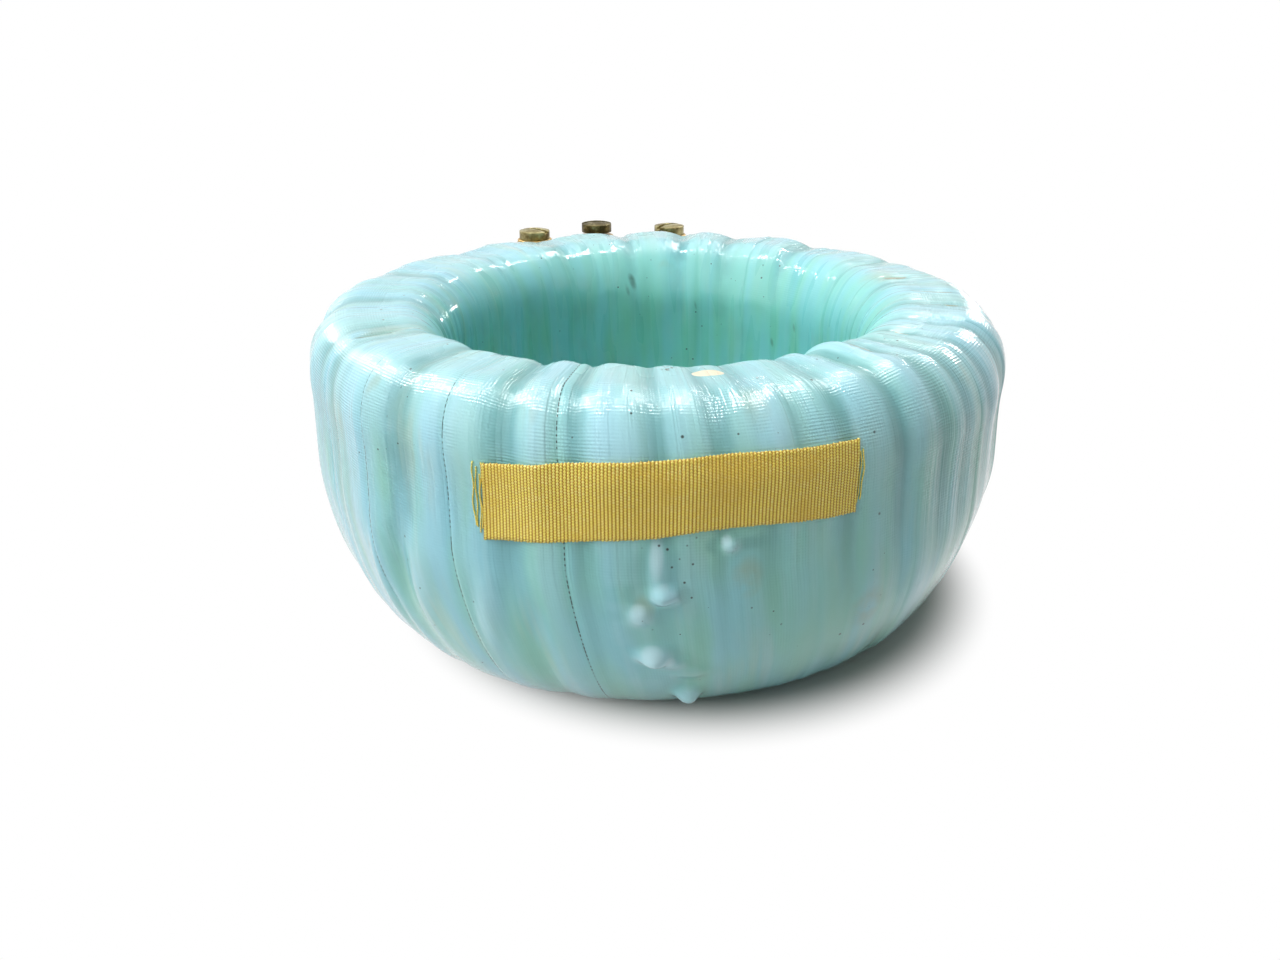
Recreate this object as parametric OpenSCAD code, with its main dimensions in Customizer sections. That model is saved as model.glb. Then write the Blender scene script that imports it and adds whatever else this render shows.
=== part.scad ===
/* [Window and core] */
// Diameter of the clear window
window_d = 76; // [70:1:84]
// Radial thickness of the wound steel core
core_build = 5; // [4:0.5:6]
// Height of the core strip
core_h = 27; // [22:1:32]
// Thickness of the core strip
strip_t = 0.3; // [0.2:0.05:0.5]
// Thickness of the insulation around the core
core_insulation_t = 0.6; // [0.4:0.1:1.2]

/* [Windings] */
// Least depth of the first winding section
inner_winding_t = 2; // [1.5:0.1:2.6]
// Extra depth of the first section under the core
bottom_fill = 8.9; // [7:0.1:12]
// Thickness of the tape between the sections
interlayer_t = 0.5; // [0.3:0.1:1]
// Depth of the second winding section
outer_winding_t = 2; // [1.8:0.1:2.4]
// Thickness of the cotton tape under the varnished wrap
padding_t = 2.3; // [2.2:0.1:2.8]
// Clearance between one piece and the next
fit_gap = 0.05; // [0.02:0.01:0.1]

/* [Tape wrap] */
// Turns of tape around the ring
tape_turns = 22; // [18:1:28]
// Thickness of the wrap in the valleys between its folds
wrap_t = 1.6; // [1.4:0.1:2.2]
// Rise of the folds at the inner rim
rim_rise = 1.6; // [0.6:0.1:2.2]
// Rise of the folds at the outer top edge
edge_rise = 1.1; // [0.5:0.1:1.6]
// Rise of the folds on the wall
wall_rise = 0.8; // [0.4:0.1:1.2]
// Rise of the folds under the ring
base_rise = 0.7; // [0.4:0.1:1]
// Angle where the first turn starts at the window
tape_start_angle = 9.5; // [0:0.5:16]
// Share of the rise that the smallest turn has
smallest_fold = 0.55; // [0.3:0.05:1]
// Angles of the varnish drips around the ring
drip_angles = [271.5, 270.5, 275.5, 279.5]; // [255:0.5:290]
// Heights of the varnish drips above the base
drip_heights = [27.5, 16.5, 7, 35]; // [6:0.5:38]
// Radii of the varnish drips
drip_radii = [3.2, 3.3, 3, 1.7]; // [1:0.1:3.6]
// Share of a drip's radius by which it sits back in the wall
drip_sink = 0.35; // [0:0.05:0.6]

/* [Section corners] */
// Width of the rounding at the inner top edge
inner_top_w = 8.5; // [8:0.5:10]
// Height of the rounding at the inner top edge
inner_top_h = 12.5; // [11:0.5:15]
// Width of the rounding at the outer top edge
outer_top_w = 9; // [8.5:0.5:11]
// Height of the rounding at the outer top edge
outer_top_h = 11; // [10:0.5:12]
// Width of the rounding at the outer bottom edge
outer_bottom_w = 16; // [15.5:0.5:19]
// Height of the rounding at the outer bottom edge
outer_bottom_h = 31; // [24:0.5:32]
// Width of the rounding at the inner bottom edge
inner_bottom_w = 7.5; // [7.5:0.5:9]
// Height of the rounding at the inner bottom edge
inner_bottom_h = 10; // [9:0.5:12]
// Width of the flat between the roundings of the base
base_flat = 1.2; // [0.8:0.1:4]

/* [Terminals] */
// Angles of the terminals around the ring
terminal_angles = [115, 102, 87]; // [70:1:120]
// Width of the brass tabs
tab_w = 9; // [7:0.5:10]
// Thickness of the brass tabs
tab_t = 1.2; // [0.8:0.1:1.4]
// Length of the tab under the tape
tab_leg = 20; // [17:0.5:21]
// Distance of the screws from the wall
screw_reach = 7.3; // [6:0.1:9]
// Depth of the tab face under the top of the ring
tab_drop = 2.9; // [2.5:0.1:4]
// Thickness of the paper behind the tabs
pad_t = 0.4; // [0.3:0.1:0.6]
// Margin of the paper around the tabs
pad_margin = 2; // [1:0.5:3]

/* [Terminal screws] */
// Diameter of the screw thread
screw_d = 3.5; // [3:0.1:4]
// Length of the screw under its head
screw_l = 8; // [7:0.5:12]
// Diameter of the screw head
head_d = 7.4; // [6.5:0.1:8]
// Height of the screw head
head_h = 2.5; // [1.8:0.1:3]
// Height of the dome within the head
dome_h = 0.5; // [0.4:0.1:1.2]
// Width of the driver slot
slot_w = 1.1; // [0.8:0.1:1.4]
// Depth of the driver slot
slot_depth = 1; // [0.6:0.1:1.3]
// Height by which each screw is backed out
screw_slack = [0, 0.9, 0.1]; // [0:0.1:1.2]
// Diameter of the washers
washer_d = 8.4; // [8:0.1:9]
// Thickness of the washers
washer_t = 0.8; // [0.6:0.1:1.2]
// Width of the nuts across flats
nut_af = 7.9; // [7:0.1:8.5]
// Thickness of the nuts
nut_t = 2.8; // [2:0.1:3.2]

/* [Leads] */
// Diameter of the lead wires
lead_d = 1.6; // [1:0.1:2]
// Distance of the lead from the end of the tab
lead_inset = 3; // [2.5:0.5:4]
// Depth of the lead in the winding
lead_depth = 1.4; // [1:0.1:1.6]
// Height of the solder on the tab
solder_h = 0.4; // [0.2:0.05:0.45]
// Diameter of the solder on the tab
solder_d = 3.6; // [3:0.1:4.5]

/* [Label ribbon] */
// Width of the ribbon
ribbon_w = 10.8; // [8:0.1:14]
// Angle that the ribbon spans
ribbon_span_angle = 48; // [30:1:60]
// Angle of the ribbon's middle
ribbon_mid_angle = 273; // [260:1:280]
// Thickness of the ribbon
ribbon_t = 0.35; // [0.25:0.05:0.6]
// Height of the ribbon's middle above the base
ribbon_z = 42.2; // [38:0.1:44]
// Rise of the ribbon from left to right
ribbon_climb = 1.7; // [0:0.1:3]
// Rise of the ribbon's middle above the line between its ends
ribbon_bow = 0.8; // [0:0.1:2]

/* [Hidden] */
$fn = 96;
bore_r = window_d / 2;
// Depths of the layers below the valleys of the wrap
padding_at = wrap_t + fit_gap;
outer_winding_at = padding_at + padding_t + fit_gap;
interlayer_at = outer_winding_at + outer_winding_t + fit_gap;
inner_winding_at = interlayer_at + interlayer_t + fit_gap;
sleeve_at = inner_winding_at + inner_winding_t + fit_gap;
sleeve_wall = core_insulation_t + fit_gap;
core_in = bore_r + sleeve_at + sleeve_wall;
core_out = core_in + core_build;
wall_r = bore_r + inner_bottom_w + base_flat + outer_bottom_w;
core_z = sleeve_at + bottom_fill + sleeve_wall;
ring_h = core_z + core_h + sleeve_wall + sleeve_at;
// Places of the terminal pieces
pad_in = wall_r - outer_winding_at + fit_gap;
leg_in = pad_in + pad_t + fit_gap;
leg_out = leg_in + tab_t;
screw_r = wall_r + screw_reach;
tab_z = ring_h - tab_drop;
lead_z = tab_z - tab_leg + lead_inset;
solder_out = leg_out + fit_gap + solder_h;
// Columns of one turn, as place across the turn and share of the rise
turn_fold = [[0, 0], [0.07, 0.8], [0.27, 1], [0.5, 0.3], [0.57, 0.65], [0.78, 0.6]];
columns = len(turn_fold);
turn_angle = 360 / tape_turns;
corner_steps = 5;
bore_overlap = 0.3;
// Sizes of the folds differ from turn to turn
turn_size = rands(smallest_fold, 1, tape_turns, 7);

// One rounded corner of the section as [r, z, normal r, normal z, rise]
function corner(r, z, w, h, from, rise_a, rise_b) =
    [for (k = [0 : corner_steps])
        let (a = from - 90 * k / corner_steps, n = norm([cos(a) / w, sin(a) / h]))
        [r + w * cos(a), z + h * sin(a), cos(a) / w / n, sin(a) / h / n,
         rise_a + (rise_b - rise_a) * k / corner_steps]];

// Closed section of the ring at a depth, from the bore over the top to the base
function section(d) = concat(
    corner(bore_r + inner_top_w, ring_h - inner_top_h, inner_top_w - d, inner_top_h - d, 180,
           bore_overlap, rim_rise),
    corner(wall_r - outer_top_w, ring_h - outer_top_h, outer_top_w - d, outer_top_h - d, 90,
           rim_rise, edge_rise),
    corner(wall_r - outer_bottom_w, outer_bottom_h, outer_bottom_w - d, outer_bottom_h - d, 0,
           wall_rise, base_rise),
    corner(bore_r + inner_bottom_w, inner_bottom_h, inner_bottom_w - d, inner_bottom_h - d, -90,
           base_rise, bore_overlap));

function flat(s) = [for (p = s) [p[0], p[1]]];

// Share of one turn's advance reached at each row of the section
rows = section(0);
row_count = len(rows);
function advance(j) = j < row_count / 2 ? 0.25 * j / (row_count / 2) : 0.25 + 0.75 * (2 * j / row_count - 1);

// Rise of a fold, blended from its turn to the next as the tape advances
function fold(turn, k, j) =
    let (here = turn_size[turn], next = turn_size[(turn + 1) % tape_turns])
    turn_fold[k][1] * (here + (next - here) * advance(j));

function wrap_point(turn, k, j) =
    let (p = rows[j], a = tape_start_angle + turn_angle * (turn + turn_fold[k][0] + advance(j)),
         d = bore_overlap_at(p) + p[4] * fold(turn, k, j), r = p[0] + p[2] * d)
    [r * cos(a), r * sin(a), p[1] + p[3] * d];

// The bore side stands proud, so that the window is cut to a true round
function bore_overlap_at(p) = p[0] < bore_r + 0.001 ? bore_overlap : 0;

// Radius of the wall at a height within the lower rounding
function wall_at(z) =
    let (down = max(0, outer_bottom_h - z) / outer_bottom_h)
    wall_r - outer_bottom_w + outer_bottom_w * sqrt(1 - down * down);

// Drips of varnish on the front, sunk in the wall
module drips() {
    for (i = [0 : len(drip_radii) - 1])
        rotate(drip_angles[i])
            translate([wall_at(drip_heights[i]) - drip_sink * drip_radii[i], 0, drip_heights[i]])
                sphere(r = drip_radii[i]);
}

module wrap_turns() {
    count = tape_turns * columns;
    points = [for (j = [0 : row_count - 1], turn = [0 : tape_turns - 1], k = [0 : columns - 1])
              wrap_point(turn, k, j)];
    faces = [for (j = [0 : row_count - 1], i = [0 : count - 1])
        let (shift = j == row_count - 1 ? columns : 0, below = (j + 1) % row_count,
             a = j * count + i, b = j * count + (i + 1) % count,
             c = below * count + (i + 1 + shift) % count, d = below * count + (i + shift) % count)
        each [[a, b, c], [a, c, d]]];
    polyhedron(points, faces, convexity = 8);
}

// Ring that fills the section between two depths
module shell(outside, inside) {
    rotate_extrude()
        difference() {
            polygon(flat(section(outside)));
            polygon(flat(section(inside)));
        }
}

// The origin is the middle of the window
module centred() {
    translate([0, 0, -ring_h / 2])
        children();
}

module at_terminal(i) {
    rotate(terminal_angles[i])
        children();
}

module core() {
    color([0.36, 0.37, 0.4])
        centred()
            translate([0, 0, core_z])
                linear_extrude(core_h)
                    difference() {
                        polygon([for (a = [0 : 5 : 360]) (core_out - strip_t * a / 360) * [cos(a), sin(a)]]);
                        polygon([for (a = [0 : 5 : 360]) (core_in + strip_t - strip_t * a / 360) * [cos(a), sin(a)]]);
                    }
}

module core_insulation() {
    color([0.83, 0.77, 0.62])
        centred()
            translate([0, 0, core_z - sleeve_wall])
                rotate_extrude()
                    difference() {
                        translate([core_in - sleeve_wall, 0])
                            square([core_build + 2 * sleeve_wall, core_h + 2 * sleeve_wall]);
                        translate([core_in - fit_gap, core_insulation_t])
                            square([core_build + 2 * fit_gap, core_h + 2 * fit_gap]);
                    }
}

module inner_winding() {
    color([0.62, 0.33, 0.16])
        centred()
            rotate_extrude()
                difference() {
                    polygon(flat(section(inner_winding_at)));
                    translate([core_in - sleeve_wall - fit_gap, core_z - sleeve_wall - fit_gap])
                        square([core_build + 2 * (sleeve_wall + fit_gap), core_h + 2 * (sleeve_wall + fit_gap)]);
                }
}

module interlayer_tape() {
    color([0.87, 0.83, 0.72])
        centred()
            shell(interlayer_at, interlayer_at + interlayer_t);
}

module outer_winding() {
    color([0.68, 0.37, 0.18])
        centred()
            difference() {
                shell(outer_winding_at, outer_winding_at + outer_winding_t);
                for (i = [0 : 2])
                    at_terminal(i)
                        lead_shape(fit_gap);
            }
}

module padding_tape() {
    color([0.9, 0.87, 0.78])
        centred()
            difference() {
                shell(padding_at, padding_at + padding_t);
                pad_shape(fit_gap, 2 * fit_gap);
                for (i = [0 : 2])
                    at_terminal(i) {
                        tab_shape(fit_gap);
                        lead_shape(fit_gap);
                        solder_shape(fit_gap);
                    }
            }
}

module tape_wrap() {
    color([0.5, 0.75, 0.8])
        centred()
            difference() {
                union() {
                    wrap_turns();
                    drips();
                }
                rotate_extrude()
                    polygon(flat(section(wrap_t)));
                translate([0, 0, -10])
                    cylinder(h = ring_h + 20, r = bore_r);
                translate([0, 0, -20])
                    cylinder(h = 20, r = 2 * wall_r);
                for (i = [0 : 2])
                    at_terminal(i)
                        tab_shape(fit_gap);
            }
}

module label_ribbon() {
    steps = 24;
    heights = [-0.5, -0.17, 0.17, 0.5];
    inner = [for (i = [0 : steps], h = heights) ribbon_point(i / steps, h, 0)];
    outer = [for (i = [0 : steps], h = heights) ribbon_point(i / steps, h, ribbon_t)];
    n = len(inner);
    last = steps * 4;
    sides = [for (i = [0 : steps - 1], h = [0 : 2])
        let (a = i * 4 + h, b = a + 4)
        each [[a, b + 1, b], [a, a + 1, b + 1], [n + a, n + b, n + b + 1], [n + a, n + b + 1, n + a + 1]]];
    edges = [for (i = [0 : steps - 1])
        let (a = i * 4, b = a + 4)
        each [[a, b, n + b], [a, n + b, n + a], [a + 3, n + b + 3, b + 3], [a + 3, n + a + 3, n + b + 3]]];
    ends = [for (h = [0 : 2])
        let (a = h, b = last + h)
        each [[a, n + a, n + a + 1], [a, n + a + 1, a + 1], [b, n + b + 1, n + b], [b, b + 1, n + b + 1]]];
    color([0.84, 0.7, 0.3])
        centred()
            polyhedron(points = concat(inner, outer), faces = concat(sides, edges, ends), convexity = 4);
}

// Rise of the highest folds at a height on the wall
function rise_at(z) =
    let (edge_z = ring_h - outer_top_h)
    z > edge_z ? edge_rise + (rim_rise - edge_rise) * asin((z - edge_z) / outer_top_h) / 90
               : wall_rise + (edge_rise - wall_rise) * (z - outer_bottom_h) / (edge_z - outer_bottom_h);

// Point of the ribbon on the crests of the folds
function ribbon_point(u, h, out) =
    let (a = ribbon_mid_angle + ribbon_span_angle * (u - 0.5),
         z = ribbon_z + ribbon_climb * (u - 0.5) + ribbon_bow * 4 * u * (1 - u) + ribbon_w * h,
         d = rise_at(z) + fit_gap + out, up = max(0, z - (ring_h - outer_top_h)) / (outer_top_h + d),
         r = wall_r - outer_top_w + (outer_top_w + d) * sqrt(1 - up * up))
    [r * cos(a), r * sin(a), z];

module pad_shape(around, deep) {
    reach = 2 * asin((tab_w / 2 + pad_margin) / pad_in / 2);
    first = min(terminal_angles) - reach;
    last = max(terminal_angles) + reach;
    edge = around / pad_in * 180 / PI;
    rotate(first - edge)
        rotate_extrude(angle = last - first + 2 * edge)
            translate([pad_in - deep, lead_z - lead_inset - pad_margin - around])
                square([pad_t + deep + (deep > 0 ? fit_gap : 0),
                        ring_h - outer_top_h - lead_z + lead_inset + pad_margin + 2 * around]);
}

module terminal_pad() {
    color([0.6, 0.45, 0.32])
        centred()
            difference() {
                pad_shape(0, 0);
                for (i = [0 : 2])
                    at_terminal(i)
                        lead_shape(fit_gap);
            }
}

// Brass strip bent outward at the top, grown by a clearance for its pocket
module tab_shape(c) {
    translate([leg_in - c, -tab_w / 2 - c, tab_z - tab_leg - c])
        cube([tab_t + 2 * c, tab_w + 2 * c, tab_leg + 2 * c]);
    translate([leg_in - c, -tab_w / 2 - c, tab_z - tab_t - c])
        cube([screw_r - leg_in + c, tab_w + 2 * c, tab_t + 2 * c]);
    translate([screw_r, 0, tab_z - tab_t - c])
        cylinder(h = tab_t + 2 * c, r = tab_w / 2 + c);
}

module terminal_tab(i) {
    color([0.78, 0.65, 0.36])
        centred()
            at_terminal(i)
                difference() {
                    tab_shape(0);
                    translate([screw_r, 0, tab_z - tab_t - 1])
                        cylinder(h = tab_t + 2, d = screw_d + 2 * fit_gap);
                    lead_shape(fit_gap);
                }
}

module terminal_tab_1() {
    terminal_tab(0);
}

module terminal_tab_2() {
    terminal_tab(1);
}

module terminal_tab_3() {
    terminal_tab(2);
}

module lead_shape(c) {
    start = wall_r - outer_winding_at - lead_depth;
    translate([start - c, 0, lead_z])
        rotate([0, 90, 0])
            cylinder(h = solder_out - start + 2 * c, d = lead_d + 2 * c);
}

module lead(i) {
    color([0.76, 0.42, 0.2])
        centred()
            at_terminal(i)
                lead_shape(0);
}

module lead_1() {
    lead(0);
}

module lead_2() {
    lead(1);
}

module lead_3() {
    lead(2);
}

module solder_shape(c) {
    translate([leg_out + fit_gap - c, 0, lead_z])
        rotate([0, 90, 0])
            cylinder(h = solder_h + 2 * c, d1 = solder_d + 2 * c, d2 = solder_d - solder_h + 2 * c);
}

module solder_joints() {
    color([0.7, 0.71, 0.73])
        centred()
            for (i = [0 : 2])
                at_terminal(i)
                    difference() {
                        solder_shape(0);
                        lead_shape(fit_gap);
                    }
}

module terminal_screws() {
    dome_r = (head_d * head_d / 4 + dome_h * dome_h) / (2 * dome_h);
    color([0.72, 0.6, 0.36])
        centred()
            for (i = [0 : 2])
                at_terminal(i)
                    translate([screw_r, 0, tab_z + washer_t + screw_slack[i]])
                        rotate(35 + 50 * i)
                            difference() {
                                union() {
                                    cylinder(h = head_h - dome_h, d = head_d);
                                    translate([0, 0, head_h - dome_r])
                                        intersection() {
                                            sphere(r = dome_r);
                                            translate([0, 0, dome_r - dome_h])
                                                cylinder(h = dome_h + 1, d = head_d);
                                        }
                                    translate([0, 0, -screw_l])
                                        cylinder(h = screw_l + 0.5, d = screw_d);
                                }
                                translate([-head_d, -slot_w / 2, head_h - slot_depth])
                                    cube([2 * head_d, slot_w, slot_depth + 1]);
                            }
}

module terminal_washers() {
    color([0.74, 0.63, 0.4])
        centred()
            for (i = [0 : 2])
                at_terminal(i)
                    translate([screw_r, 0, tab_z])
                        difference() {
                            cylinder(h = washer_t, d = washer_d);
                            translate([0, 0, -1])
                                cylinder(h = washer_t + 2, d = screw_d + 0.3);
                        }
}

module terminal_nuts() {
    color([0.7, 0.6, 0.38])
        centred()
            for (i = [0 : 2])
                at_terminal(i)
                    translate([screw_r, 0, tab_z - tab_t - nut_t])
                        difference() {
                            cylinder(h = nut_t, d = nut_af / cos(30), $fn = 6);
                            translate([0, 0, -1])
                                cylinder(h = nut_t + 2, d = screw_d + 2 * fit_gap);
                        }
}

core();
core_insulation();
inner_winding();
interlayer_tape();
outer_winding();
padding_tape();
tape_wrap();
label_ribbon();
terminal_pad();
terminal_tab_1();
terminal_tab_2();
terminal_tab_3();
lead_1();
lead_2();
lead_3();
solder_joints();
terminal_screws();
terminal_washers();
terminal_nuts();
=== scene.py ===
"""Looks of a window-type current transformer: a ring bound in varnished woven tape,
with a bare ribbon label in front and three brass screw terminals behind."""
import math

import bmesh
import bpy
import numpy as np
from mathutils import Matrix, Vector
from mathutils.bvhtree import BVHTree


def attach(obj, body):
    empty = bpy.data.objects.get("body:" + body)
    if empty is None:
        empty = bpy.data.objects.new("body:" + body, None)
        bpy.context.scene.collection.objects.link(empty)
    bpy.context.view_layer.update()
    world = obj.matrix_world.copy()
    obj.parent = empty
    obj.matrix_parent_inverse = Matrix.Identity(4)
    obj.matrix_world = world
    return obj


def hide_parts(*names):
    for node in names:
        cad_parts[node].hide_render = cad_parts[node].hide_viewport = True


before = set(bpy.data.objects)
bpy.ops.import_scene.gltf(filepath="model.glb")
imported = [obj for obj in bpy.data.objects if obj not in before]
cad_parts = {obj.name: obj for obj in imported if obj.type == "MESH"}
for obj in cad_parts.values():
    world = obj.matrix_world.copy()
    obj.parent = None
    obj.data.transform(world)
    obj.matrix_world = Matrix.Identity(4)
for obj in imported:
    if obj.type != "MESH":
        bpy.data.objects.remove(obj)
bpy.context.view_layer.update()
scene = bpy.context.scene
scene.view_settings.view_transform = "Standard"

MM = 0.001
FULL_TURN = 2 * math.pi

# Ring sizes in millimetres, heights counted from the base
BORE_R, WALL_R, RING_H = 38.0, 62.7, 54.5
BASE_Z = -RING_H / 2
SEAM_Z = 24.0  # height in the window where the section starts and ends
SEAM_FADE, SEAM_DEPTH = 7, 0.1  # way over which the relief fades towards the seam, and depth of the seam
PADDING = 1.4  # least depth of the padding under the plain section
BORE_SLACK = 0.25  # how far the tape may stand into the window
OUTSIDE_R = 90  # a radius well outside the ring
TOP_FROM_Z, TOP_MIDDLE_R = 45, 56  # height where the top begins, and radius past which it belongs to the wall
CORNERS = (  # middle radius, middle height, half width, half height, first angle
    (BORE_R + 8.5, RING_H - 12.5, 8.5, 12.5, 180),
    (WALL_R - 9, RING_H - 11, 9, 11, 90),
    (WALL_R - 16, 31, 16, 31, 0),
    (BORE_R + 7.5, 10, 7.5, 10, -90),
)
CORNER_POINTS = 80
FINE_ROW, PLAIN_ROW = 0.8, 1.5  # spacing of the rows over the rim and the wall, and elsewhere

# Tape turns: a turn's edge starts at TURN_START degrees and leans as the tape advances round the section
TURNS = 22
TURN_DEG = 360 / TURNS
TURN_START = 9.45
TURN_COLUMNS = 25
EDGE_CROWD = 0.14  # how far a turn's columns crowd towards its edges
ADVANCE = (-0.03, 0, 0.104, 0.125, 0.229, 0.25, 0.5625, 0.625, 0.9375, 0.97)  # at each mark of the section
LAP_LEFT = (0.3, 0.4, 0.8, 1.0, 1.0, 0.9, 0.6, 0.5, 0.3, 0.3)  # share of a lap's step at each mark
LAP_SIZES, LAP_EDGES = (0.08, 0.24), (0.06, 0.2)  # least and most rise of a step, and its width in turns
SHARP_SIZE, SHARP_EDGE = 0.26, 0.025
SHARP_TURNS = (3, 8, 13, 14, 15, 20)  # turns whose edge is a clear step
DASHED_TURNS = (13, 14, 15)  # turns whose selvage shows
# Depth of a hollow or crease that gets full painted shade, and height of a crest that gets a full painted
# highlight
HOLLOW_SHADE_DEPTH, CREST_HIGHLIGHT_HEIGHT, CREASE_SHADE_DEPTH = 0.35, 0.7, 0.14
UV_UNIT = 10  # the tape's UV map counts the way along it in centimetres

# From here on, angles are degrees from the front towards +X, unless a comment says otherwise
FRONT = 270
# Gathered folds at the inner rim: angle and rise of each valley and crest in turn
FOLDS = (
    (-58, -0.5), (-45.5, 0.5), (-40.5, -0.25), (-32, 0.5), (-29, 0.25), (-25, 0.5), (-21, -0.25), (-16.5, 1),
    (-11.5, 0.25), (-7.5, 1), (-1, 0.5), (2, 1), (6, 0.5), (9.5, 0.75), (12, 0.5), (18, 1), (24, 0.5),
    (28, 1.25), (33, 0.25), (36, 1.75), (41, 1), (43, 1.25), (46.5, 0.5), (50, 1), (55, 0.5), (60, 1),
    (66, 0.5), (70, 1), (78, 0.75), (87, 1.25), (97, 0.75), (104, 1.25), (117, 0.75), (123, 1.25),
    (139, 0.5), (146, 1.5), (159, 0.5), (166, 1.5), (172, 0.5), (179, 1.5), (187.5, 0.5), (194, 1.25),
    (209, 0.5), (216, 1), (231, 0.25), (240, 0.5), (254, 0), (262, 0.5), (275, -0.25), (284, 0), (294, -0.5),
)
ROUND_CREST = 0.9
# How far the inner edge of the rim stands out, by angle
EDGE = ((-180, -0.5), (-165, 0.0), (-140, 0.5), (-100, 0.3), (-60, 0.0), (60, 0.0), (100, 0.0), (140, -0.8),
        (165, -0.8))
# Share of the folds that runs on over the shoulder, by angle
RUN_ON = ((-180, 1), (22, 1), (34, 0.4), (110, 0.45), (140, 1))
# Share of pleats on the wall, by angle
PLEATING = ((-180, 0.8), (-120, 0.8), (-75, 1.0), (-30, 0.9), (-14, 0.5), (-4, 0.2), (30, 0.2), (42, 0.45),
            (60, 0.6), (90, 0.6), (140, 0.7))
# How much fuller the shoulder is, by angle
SHOULDER = ((-150, 0.0), (-125, 0.4), (-105, 1.2), (-85, 0.8), (-60, 0.2), (-40, 0.0), (60, 0.0), (80, 0.7),
            (100, 0.7), (120, 0.0))
OUT_OF_ROUND = (  # angle, then how far the wall stands out low down, half way up and at its top edge
    (-180, -0.4, 0.0, -1.2), (-140, -0.3, 0.2, -1.9), (-90, -0.5, -0.2, -0.9), (-60, 0.2, -0.3, -0.9),
    (-40, 0.2, 0.1, -0.8), (0, -0.2, 0.0, -0.6), (45, -0.3, 0.2, -0.6), (90, -0.2, 1.1, -0.5),
    (130, -0.4, 0.4, -0.7),
)
LOW_Z, HALF_WAY_Z, TOP_EDGE_Z = 5, 26, 43  # the heights that are meant there

# Drips of varnish and swells low on the wall: angle, height, spread around, spread up, rise
DRIPS = (
    (1.5, 28.0, 1.9, 1.5, 1.9), (0.9, 32.0, 1.4, 3.8, 0.7), (-1.4, 24.4, 1.7, 1.6, 0.9),
    (0.4, 16.9, 2.3, 1.5, 2.3), (2.9, 15.0, 2.2, 1.3, 0.8), (5.2, 12.6, 2.6, 1.5, 0.6),
    (5.6, 6.8, 1.8, 1.7, 2.0), (9.6, 35.4, 1.2, 1.1, 1.1),
)
SWELLS = (
    (-34.0, 22.0, 2.0, 8.0, 0.9), (-38.5, 25.0, 1.7, 8.0, -1.0), (-43.5, 20.0, 1.5, 9.0, 0.7),
    (-22.5, 22.0, 1.6, 5.5, 0.7), (-17.5, 23.0, 1.5, 5.0, 0.5),
)
DRIP_AREA = (-5, 13, 2, 39)  # first and last angle and height of the wall that gets smaller faces
DRIP_AREA_R = WALL_R - 15

# Slits where a tape edge stands open on the top: angle, radius, lean, half length, half width
SLITS = (
    (40.0, 48.8, 0.1, 3.2, 0.75), (29.8, 45.3, 0.0, 1.8, 0.5), (56.1, 48.0, 0.0, 1.6, 0.4),
    (64.5, 51.3, 0.0, 1.5, 0.35), (102.0, 47.9, 0.0, 2.6, 0.6), (88.5, 50.9, 0.0, 4.2, 0.5),
    (79.2, 53.1, 0.0, 1.4, 0.35), (-61.4, 52.1, 0.0, 3.4, 0.45),
)
# Stains on the varnish: angle, radius, height, half length down the tape, half width
STAINS = (
    (13.4, 57.3, 54.7, 6.5, 2.6), (50.4, 60.6, 52.4, 8.0, 2.0), (-15.4, 58.4, 54.2, 7.0, 1.2),
    (-43.3, 62.2, 50.2, 9.0, 1.4), (-1.0, 62.5, 25.9, 3.0, 2.0), (12.1, 62.7, 30.1, 4.0, 3.0),
    (31.4, 61.5, 20.4, 5.0, 4.0), (-62.0, 50.0, 54.6, 8.0, 4.0), (-76.0, 58.0, 53.0, 7.0, 3.0),
    (104.0, 46.0, 54.6, 7.0, 5.0), (176.0, 38.0, 52.0, 5.0, 2.5),
)
UPRIGHT_STAIN_Z = 40  # below this height a stain runs straight down the wall
# Painted shade along creases in the window: angle, height, half length and half width
WINDOW_CREASE_SHADES = ((-172.5, 48.5, 3.4, 1.0), (-171.0, 45.5, 2.4, 0.7), (128.0, 41.5, 1.8, 0.7), (137.0, 37.0, 1.7, 0.7),
        (166.0, 43.0, 1.8, 0.5))
# A crumb of dirt and a chip in the varnish on the near rim, and the speckled front: angle and radius
CRUMB, CHIP, SPECKLED = (2.4, 46.7), (9.0, 48.6), (8, 62)
SPECKLED_Z = 25

# Woven tape: spacing of its cross threads and of its selvage stitches, and long threads in a turn
CROSS_THREAD, STITCH, LONG_THREADS = 0.46, 0.85, 40

# Ribbon label: angle, top and bottom height of its edges
RIBBON = ((-22.0, 45.4, 34.2), (-16, 46.3, 35.1), (-11, 47.2, 35.9), (-6.3, 47.8, 36.6), (0.5, 48.1, 37.1),
          (5.5, 48.4, 38.0), (9.4, 48.6, 38.2), (14.2, 48.6, 38.2), (18.7, 48.4, 38.0), (27, 48.4, 37.7))
RIBBON_W, RIBBON_T = 10.8, 0.3
RIBBON_RIBS, RIB_FACES, RIBBON_ROWS = 106, 6, 20
RIB_SWELL, EDGE_CORD, LOOP_OUT, LOOP_MORE = 0.065, 0.05, 0.06, 0.14
RIBBON_LIFT = 0.05  # how far it stays clear of the tape
YARN = 0.40
SEAT_U, SEAT_V = 120, 12  # places along and across it where the tape under it is felt
# Loose yarns: how far each stands from the ribbon's left and right end, in degrees
LEFT_YARNS, RIGHT_YARNS = (-0.12, -0.45, -0.85, -1.2), (0.2, 0.55)
YARN_R, YARN_LIFT, YARN_POINTS, YARN_SIDES = 0.1, 0.14, 41, 6

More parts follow.
